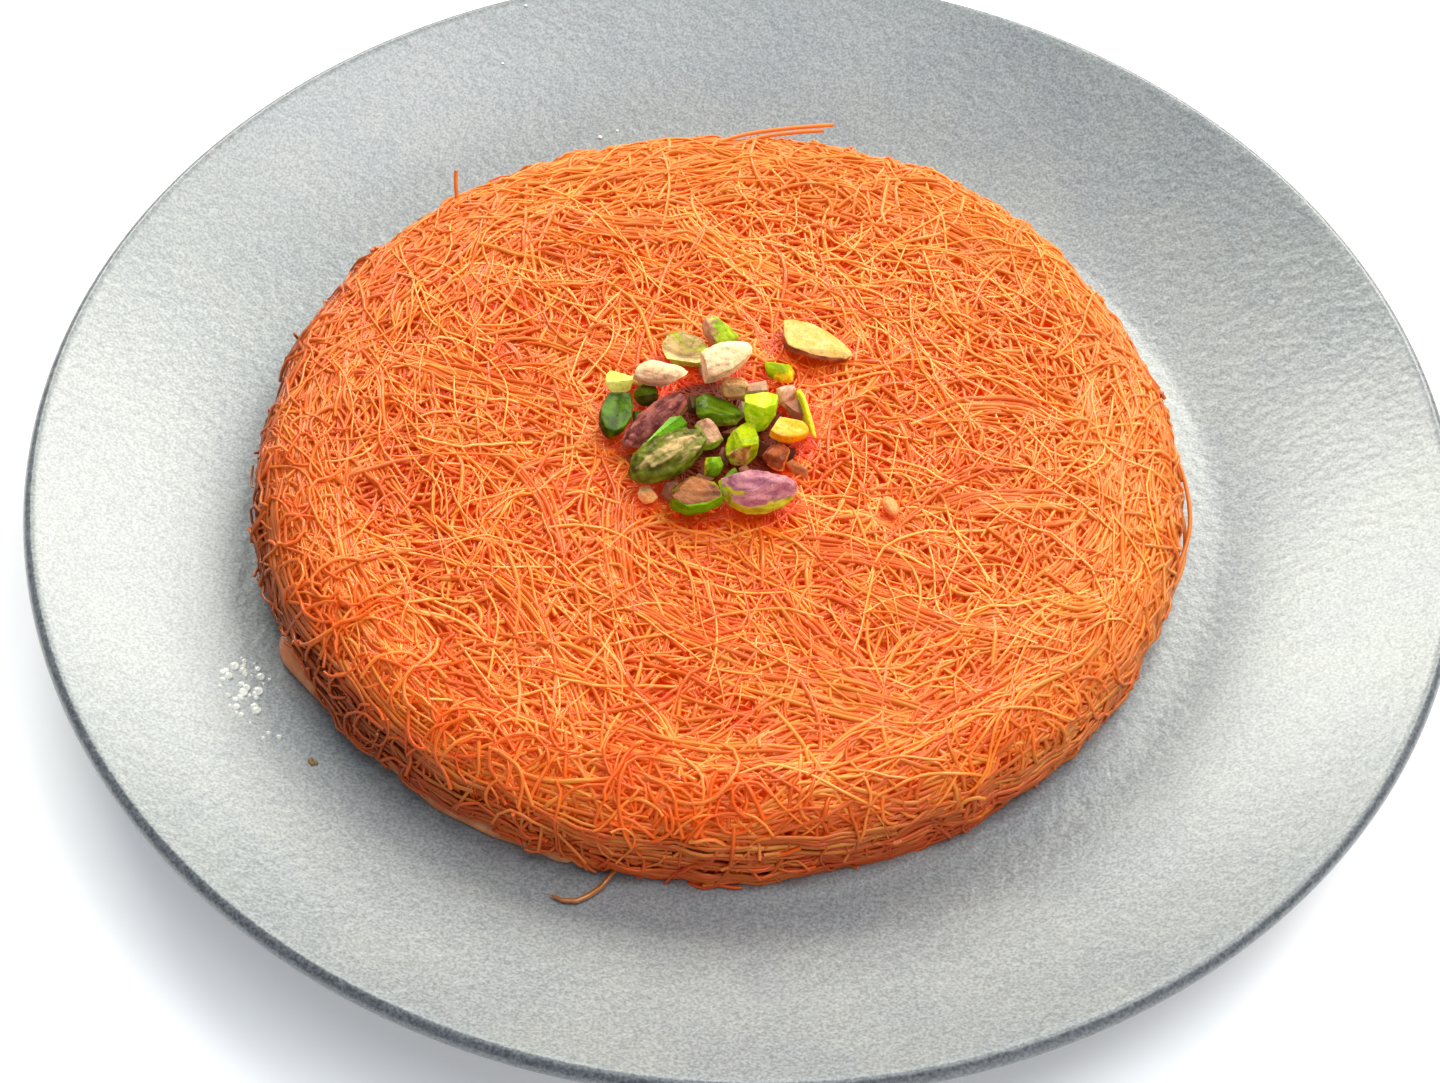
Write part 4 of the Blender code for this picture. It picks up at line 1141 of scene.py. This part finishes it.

# %% [markdown]
# ## Pistachio finish
# The flesh is matt and a little translucent, under a thin coat of syrup. The finish reads the painted
# field, darkens it in fine specks, wrinkles it, and adds a faint glow of the same colour, a painted light
# for the light inside the flesh. One finish serves all the bits, because what differs between them is in
# the field.

# %% Pistachio finish
nut_flesh, tree, shader = start_finish(
    "pistachio", Roughness=0.6, Specular_IOR_Level=0.06, Coat_Weight=0.16, Coat_Roughness=0.05,
    Emission_Strength=0.14,
)
painted = attribute(tree, "paint").outputs["Color"]
darker = mix_colour(tree, 0.35, painted, (0.02, 0.02, 0.01, 1.0))
nut_colour = mix_colour(tree, spread(tree, grain(tree, 0.9 * MM, 0.7), 0.48, 0.7), painted, darker)
tree.links.new(nut_colour, shader.inputs["Base Color"])
# A faint painted glow in the nut's own colour stands for light inside the flesh
tree.links.new(nut_colour, shader.inputs["Emission Color"])
relief_of(tree, shader, grain(tree, 0.8 * MM, 0.7), 0.6, 0.4 * MM)
print("finish", nut_flesh.name)

# %% [markdown]
# ## Chopped facets
# A knife leaves flat faces. They could be modelled one by one, but a few random planes that graze each bit
# do the same: what stands out past a plane is pressed back almost to it. Whole kernels get fewer cuts.

# %% Chopped facets
USUAL_CHOPS = 6
CHOPS = {
    "nut_mauve": 2, "nut_big_green": 2, "nut_purple_front": 3, "nut_slice": 4, "nut_yellow": 2,
    "nut_crumb_pale": 0,
}


def chop(points, middle, rng, cuts):
    """Flattens a piece where a few random knife cuts graze it."""
    for _ in range(cuts):
        way = rng.normal(0, 1, 3)
        way /= np.linalg.norm(way)
        out = (points - middle) @ way
        over = np.maximum(out - out.max() * rng.uniform(0.6, 0.84), 0)
        points = points - over[:, None] * 0.9 * way
    return points


print("usual cuts to a bit:", USUAL_CHOPS)

# %% [markdown]
# ## Pistachio pieces
# Now each bit is shaped and painted from its row of looks. Streaks and wrinkles run along a kernel, so the
# noise that makes them is read from points that are drawn together along its longest way. Every bit grows
# a little to touch its neighbours, as the solids lie just clear of each other.

# %% Pistachio pieces
NUT_GROWTH = 1.06
NUT_SLIMMING = {"nut_mauve": 0.84, "nut_big_green": 0.94}


def shape_nut(node, order):
    """Chops, wrinkles and paints one bit of pistachio. Wrinkles and streaks run along its longest way."""
    slot, flesh, deep_flesh, skin, dark_skin, facing, start, wrinkle = NUT_LOOKS[node]
    rng = np.random.default_rng(900 + order)
    mesh = fine_copy(node)
    count = len(mesh.vertices)
    points, normals = np.empty(count * 3), np.empty(count * 3)
    mesh.vertices.foreach_get("co", points)
    mesh.vertices.foreach_get("normal", normals)
    points, normals = points.reshape(-1, 3), normals.reshape(-1, 3)
    middle, half = (points.max(0) + points.min(0)) / 2, (points.max(0) - points.min(0)) / 2
    local = (points - middle) / half
    longest = np.linalg.svd((points - middle)[::7], full_matrices=False)[2][0]
    along = ((points - middle) @ longest)[:, None] * longest
    points = middle + along + (points - middle - along) * NUT_SLIMMING.get(node, 1.0)
    drawn_out = points - 0.72 * ((points - middle) @ longest)[:, None] * longest
    facing = np.array(facing) / np.linalg.norm(facing)
    patch = normals @ facing + 0.16 * mottle(drawn_out, 1.6 * MM, order)
    patch = patch + 0.12 * mottle(drawn_out, 0.5 * MM, order + 50)
    skinned = soft_step(patch, start - 0.12, start + 0.12)
    streaks = mottle(drawn_out, 1.0 * MM, order + 100) + 0.8 * mottle(points, 2.2 * MM, order + 120)
    streak = soft_step(streaks, -1.1, 1.2)
    flesh_paint = blend_colours(streak, np.array(seen(*flesh)), np.array(seen(*deep_flesh)))
    skin_paint = blend_colours(1 - streak, np.array(seen(*skin)), np.array(seen(*dark_skin)))
    paint = blend_colours(skinned, flesh_paint, skin_paint)
    creases = soft_step(np.abs(mottle(drawn_out, 1.1 * MM, order + 200)), 0.22, 0.0)
    # The skin is painted darker in its creases, as painted shade
    paint = blend_colours(creases * skinned * 0.35, paint, paint * (0.45, 0.4, 0.4, 1.0))
    wrinkles = mottle(drawn_out, 1.3 * MM, order + 150) + 0.7 * mottle(points, 0.9 * MM, order + 170)
    shift = wrinkle * MM * (wrinkles - creases * skinned)
    from_middle = local[:, 0] ** 2 + local[:, 1] ** 2
    hollow = HOLLOW_NUTS.get(node, 0.0) * np.exp(-from_middle * 3.0) * soft_step(normals[:, 2], 0.5, 0.9)
    points = chop(points, middle, rng, CHOPS.get(node, USUAL_CHOPS)) + normals * shift[:, None]
    points[:, 2] -= hollow
    low = points[:, 2].min()
    points = middle + (points - middle) * NUT_GROWTH
    points[:, 2] += low - points[:, 2].min()
    mesh.vertices.foreach_set("co", points.ravel())
    layer = mesh.attributes.new("paint", "FLOAT_COLOR", "POINT")
    layer.data.foreach_set("color", paint.astype(np.float32).ravel())
    mesh.shade_smooth()
    mesh.update()
    return add_piece("pistachio_" + node[4:], mesh, nut_flesh, [node])


nut_pieces = [shape_nut(node, order) for order, node in enumerate(sorted(NUT_LOOKS))]
print(len(nut_pieces), "bits,", sum(len(piece.data.polygons) for piece in nut_pieces), "faces")

# %% [markdown]
# ## Pistachio splinters
# Chopping leaves splinters too small to be solids of their own. Each is the hull of a few points round
# a small block, which gives the flat faces and sharp edges of a knife cut. They fill the gaps of the
# heap, and the dark brown ones stand partly for the shade there, as painted shade. The largest is a green
# side of a kernel between the mauve one and the big green one.

# %% Pistachio splinters
# The dark brown rows are partly painted shade in the gaps of the heap
# Each row: place on the cloth, size in mm, turn in degrees, and colour
SPLINTERS = (
    ((-10.3, -5.7), (10.0, 2.6, 6.6), 47, (110, 166, 24)),
    ((-5.6, 4.6), (3.6, 2.8, 2.6), 10, (96, 64, 34)), ((-5.8, -6.6), (3.8, 2.6, 3.6), 60, (168, 164, 66)),
    ((1.6, -2.2), (4.2, 2.8, 3.0), 30, (104, 58, 40)), ((-0.2, -6.6), (3.4, 2.4, 3.4), 80, (132, 84, 60)),
    ((-15.2, -7.6), (3.4, 2.0, 2.0), 50, (140, 74, 44)),
    ((-3.2, -13.6), (3.8, 3.0, 3.2), 0, (124, 74, 50)),
    ((1.4, -12.4), (3.4, 3.0, 3.6), 20, (96, 122, 22)),
    ((13.0, -9.0), (5.4, 1.9, 2.2), -38, (206, 120, 70)),
    ((-8.9, 2.9), (4.0, 2.6, 2.8), 60, (80, 100, 26)), ((5.4, 7.4), (4.8, 3.6, 3.6), 15, (186, 142, 110)),
    ((12.6, 2.8), (4.2, 2.8, 5.0), -66, (172, 112, 88)),
    ((-14.6, 9.8), (4.4, 2.6, 2.6), 10, (214, 204, 112)),
    ((-3.0, 13.4), (4.2, 3.0, 3.6), 40, (176, 144, 108)), ((6.9, -5.4), (3.0, 2.4, 3.8), 0, (98, 52, 34)),
    ((-8.6, -15.6), (4.4, 2.8, 4.4), 70, (142, 90, 66)),
    ((3.2, 3.0), (3.0, 2.2, 3.2), 70, (206, 176, 120)), ((11.4, -6.0), (2.6, 2.0, 2.4), 30, (84, 46, 30)),
    ((-15.0, 1.6), (3.8, 2.2, 2.6), 70, (76, 96, 24)), ((4.2, -10.6), (2.8, 2.2, 3.0), 45, (150, 96, 70)),
)
splinter_bm = bmesh.new()
splinter_paint = splinter_bm.verts.layers.float_color.new("paint")
rng = np.random.default_rng(81)
for (x, y), size, yaw, colour in SPLINTERS:
    ground = on_cake(np.array(x * MM), np.array(y * MM), 0.0)
    turn = Matrix.Rotation(math.radians(yaw), 3, "Z") @ Matrix.Rotation(rng.uniform(-0.3, 0.3), 3, "X")
    corners = rng.normal(0, 1, (16, 3))
    corners /= np.abs(corners).max(1)[:, None] ** 0.8 * np.linalg.norm(corners, axis=1)[:, None] ** 0.2
    lifted = Vector((0, 0, (size[2] / 2 - 0.2) * MM))
    made = []
    for corner in corners * np.array(size) * MM / 2:
        vertex = splinter_bm.verts.new(Vector(ground) + turn @ Vector(corner) + lifted)
        vertex[splinter_paint] = seen(*np.clip(np.array(colour) * rng.uniform(0.8, 1.15), 0, 255))
        made.append(vertex)
    hull = bmesh.ops.convex_hull(splinter_bm, input=made)
    spare = {v for v in hull["geom_interior"] + hull["geom_unused"] if isinstance(v, bmesh.types.BMVert)}
    bmesh.ops.delete(splinter_bm, geom=list(spare), context="VERTS")
bmesh.ops.recalc_face_normals(splinter_bm, faces=splinter_bm.faces)
splinter_mesh = bpy.data.meshes.new("pistachio_splinters")
splinter_bm.to_mesh(splinter_mesh)
splinter_bm.free()
add_piece("pistachio_splinters", splinter_mesh, nut_flesh)
print("splinters:", len(splinter_mesh.polygons), "faces")

# %% [markdown]
# ## Fallen strand
# One strand lies on the plate in front of the cake. It is soaked through and browner than the rest, and
# it thins to a point. The same sweep makes it, with its own finish.

# %% Fallen strand
amber_pastry = pastry_finish(
    "amber_pastry", seen(150, 74, 10), seen(188, 104, 22), seen(232, 150, 58), seen(176, 98, 24),
    Roughness=0.3, Coat_Weight=0.8, Coat_Roughness=0.1, Emission_Strength=0.05,
)
FALLEN = ((-18.4, -81.2), (-20.6, -84.2), (-22.4, -86.0), (-24.2, -87.2), (-26.4, -87.3), (-28.2, -86.4))
at = np.linspace(0, 5, 21)
fallen_x, fallen_y = (np.interp(at, range(6), places) * MM for places in zip(*FALLEN))
fallen_z = plate_top(np.hypot(fallen_x, fallen_y) + 0.5 * MM) + 0.62 * MM
fallen_z[:5] += np.linspace(0.6, 0, 5) * MM
taper = (0.35 + 0.65 * np.sin(np.linspace(0.9, 3.0, 21))) * MM
fallen_line = np.stack([fallen_x, fallen_y, fallen_z], -1)[None]
fallen = sweep_strands("fallen_strand", 61, fallen_line, taper[None], 0.3, 8, amber_pastry)
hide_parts("loose_strand")

# %% [markdown]
# ## Syrup and crumbs
# Drops of syrup have splashed on the plate at the left, with a brown crumb near them and a few pale specks
# at the back. Modelling each would be slow, so a small tree sets one low round bead at each point, and a
# field gives its size. A cluster of such beads makes the crumb.

# %% Bead tree
def bead_tree():
    """The tree that sets a low round bead at each point."""
    inputs = {"Fineness": "Int", "Flatness": "Float", "Finish": "Material"}
    tree, source, result = start_tree("beads", "Spots", "Beads", inputs)
    ball = add_node(tree, "GeometryNodeMeshIcoSphere", None, {"Radius": 1.0})
    size = add_node(tree, "GeometryNodeInputNamedAttribute", {"data_type": "FLOAT"}, {"Name": "size"})
    high = times(tree, size.outputs["Attribute"], source.outputs["Flatness"])
    sizes = add_node(tree, "ShaderNodeCombineXYZ")
    copies = add_node(tree, "GeometryNodeInstanceOnPoints")
    smooth = add_node(tree, "GeometryNodeSetShadeSmooth")
    real = add_node(tree, "GeometryNodeRealizeInstances")
    dress = add_node(tree, "GeometryNodeSetMaterial")
    for start, end in (
        (source.outputs["Fineness"], ball.inputs["Subdivisions"]),
        (size.outputs["Attribute"], sizes.inputs["X"]),
        (size.outputs["Attribute"], sizes.inputs["Y"]),
        (high, sizes.inputs["Z"]),
        (source.outputs["Spots"], copies.inputs["Points"]),
        (ball.outputs["Mesh"], copies.inputs["Instance"]),
        (sizes.outputs[0], copies.inputs["Scale"]),
        (copies.outputs["Instances"], smooth.inputs["Geometry"]),
        (smooth.outputs["Geometry"], real.inputs["Geometry"]),
        (real.outputs["Geometry"], dress.inputs["Geometry"]),
        (source.outputs["Finish"], dress.inputs["Material"]),
        (dress.outputs["Geometry"], result.inputs["Beads"]),
    ):
        tree.links.new(start, end)
    return tree


beads = bead_tree()


def scatter(name, spots, sizes, flatness, finish, fineness=3):
    """Low beads on the plate at (x, y) spots in millimetres."""
    spots, sizes = np.array(spots, float) * MM, np.array(sizes, float) * MM
    z = plate_top(np.hypot(spots[:, 0], spots[:, 1])) + sizes * flatness * 0.35
    mesh = mesh_from(name + "_spots", np.column_stack([spots, z]), size=sizes)
    made = run_tree(name, beads, mesh, Fineness=fineness, Flatness=flatness, Finish=finish)
    add_piece(name, made, None)
    print(name, len(spots), "beads")


# %% [markdown]
# ## Syrup drops and crumbs
# The drops lie in a few clusters, most of them tiny and some up to a millimetre in radius. They are clear
# and glossy over a pale, near-white tint that is partly a painted highlight for their glints. They are
# partly see-through, so that the grey of the plate shows. The crumb and the specks are matt.

# %% Syrup drops and crumbs
DROP_COUNT, CRUMB_COUNT = 46, 6
DROP_CENTRES = np.array([
    (-86.0, -48.4), (-84.2, -45.0), (-81.6, -46.0), (-79.8, -49.3), (-82.4, -51.4), (-84.0, -54.5),
    (-77.3, -59.1), (-80.9, -55.4),
])
CRUMB_CENTRE = np.array([-69.4, -63.4])
SPECK_SPOTS = ((-48.0, 112.0), (-39.4, 116.0), (-31.4, 88.1), (-28.0, 90.0), (-52.0, 100.0))
SPECK_SIZES = (0.35, 0.4, 0.45, 0.3, 0.3)

# The near-white tint of the drops is partly a painted highlight
clear_syrup, _, _ = grained_finish(
    "clear_syrup", 2 * MM, seen(226, 226, 212), seen(252, 252, 246), (0.4, 0.6),
    Roughness=0.06, Coat_Weight=0.6, Coat_Roughness=0.03, Alpha=0.6,
)
crumb_brown, _, _ = grained_finish(
    "browned_crumb", 0.6 * MM, seen(92, 66, 26), seen(150, 112, 58), Roughness=0.6,
)
sugar_pale, _, _ = grained_finish(
    "pale_speck", 0.6 * MM, seen(214, 214, 208), seen(250, 250, 246), Roughness=0.5,
)
rng = np.random.default_rng(71)
nearest = rng.integers(0, len(DROP_CENTRES), DROP_COUNT)
drop_spots = DROP_CENTRES[nearest] + rng.normal(0, 1.3, (DROP_COUNT, 2))
drop_sizes = 0.2 + 0.75 * rng.uniform(0, 1, DROP_COUNT) ** 2
scatter("syrup_drops", drop_spots, drop_sizes, 0.35, clear_syrup)
crumb_spots = rng.normal(0, 0.45, (CRUMB_COUNT, 2)) + CRUMB_CENTRE
crumb_sizes = rng.uniform(0.3, 0.55, CRUMB_COUNT)
scatter("brown_crumbs", crumb_spots, crumb_sizes, 0.7, crumb_brown, 2)
scatter("pale_specks", SPECK_SPOTS, SPECK_SIZES, 0.5, sugar_pale, 2)

# %% [markdown]
# ## Floor and light
# The floor is plain and pale. Two large soft lights stand behind the plate, to the right and the left, as
# two windows would. They make the sheen on both slopes of the plate and leave the near side of the cake
# darker. One at the right and high up stands for a bright ceiling, a weak bluish one hangs overhead, and a
# low warm one fills in from the near side. A bluish sky fills the shadows.

# %% Floor and light
FLOOR_HALF, FLOOR_SUNK = 3.0, 0.4 * MM
floor_corners = np.array([(-1, -1, 0), (1, -1, 0), (1, 1, 0), (-1, 1, 0)], float) * FLOOR_HALF
floor_mesh = mesh_from("floor", floor_corners, [(0, 1, 2, 3)])
floor_finish, _, _ = grained_finish(
    "pale_floor", 0.2, seen(248, 248, 248), seen(252, 252, 252),
    Roughness=0.8, Emission_Color=(1.0, 1.0, 1.0, 1.0), Emission_Strength=0.2,
)
floor_mesh.materials.append(floor_finish)
floor = bpy.data.objects.new("floor", floor_mesh)
floor.location.z = -FLOOR_SUNK
bpy.context.scene.collection.objects.link(floor)


def soft_light(name, azimuth, elevation, distance, size, power, colour):
    """A square light that faces the cake. Azimuth 0 is straight behind it, and 90 is to its right."""
    a, e = math.radians(azimuth), math.radians(elevation)
    away = Vector((math.sin(a) * math.cos(e), math.cos(a) * math.cos(e), math.sin(e)))
    lamp = bpy.data.lights.new(name, "AREA")
    lamp.size, lamp.energy, lamp.color = size, power, colour
    holder = bpy.data.objects.new(name, lamp)
    holder.location = away * distance
    holder.rotation_mode = "QUATERNION"
    holder.rotation_quaternion = away.to_track_quat("Z", "Y")
    bpy.context.scene.collection.objects.link(holder)


soft_light("window_right", 30, 35, 1.2, 0.72, 13.2, (1.0, 0.985, 0.88))
soft_light("window_left", -26, 35, 1.2, 0.55, 9.6, (1.0, 0.98, 0.87))
soft_light("ceiling", 80, 63, 1.4, 0.7, 9, (1.0, 0.99, 0.98))
soft_light("skylight", 180, 83, 1.3, 0.6, 3.6, (0.86, 0.94, 1.0))
soft_light("fill", 150, 16, 1.3, 0.9, 2.8, (1.0, 0.95, 0.9))
world = bpy.data.worlds.new("studio")
world.use_nodes = True
sky = world.node_tree.nodes["Background"]
sky.inputs["Color"].default_value = (0.80, 0.88, 1.0, 1.0)
sky.inputs["Strength"].default_value = 0.34
bpy.context.scene.world = world
bpy.context.scene.view_settings.view_transform = "Standard"
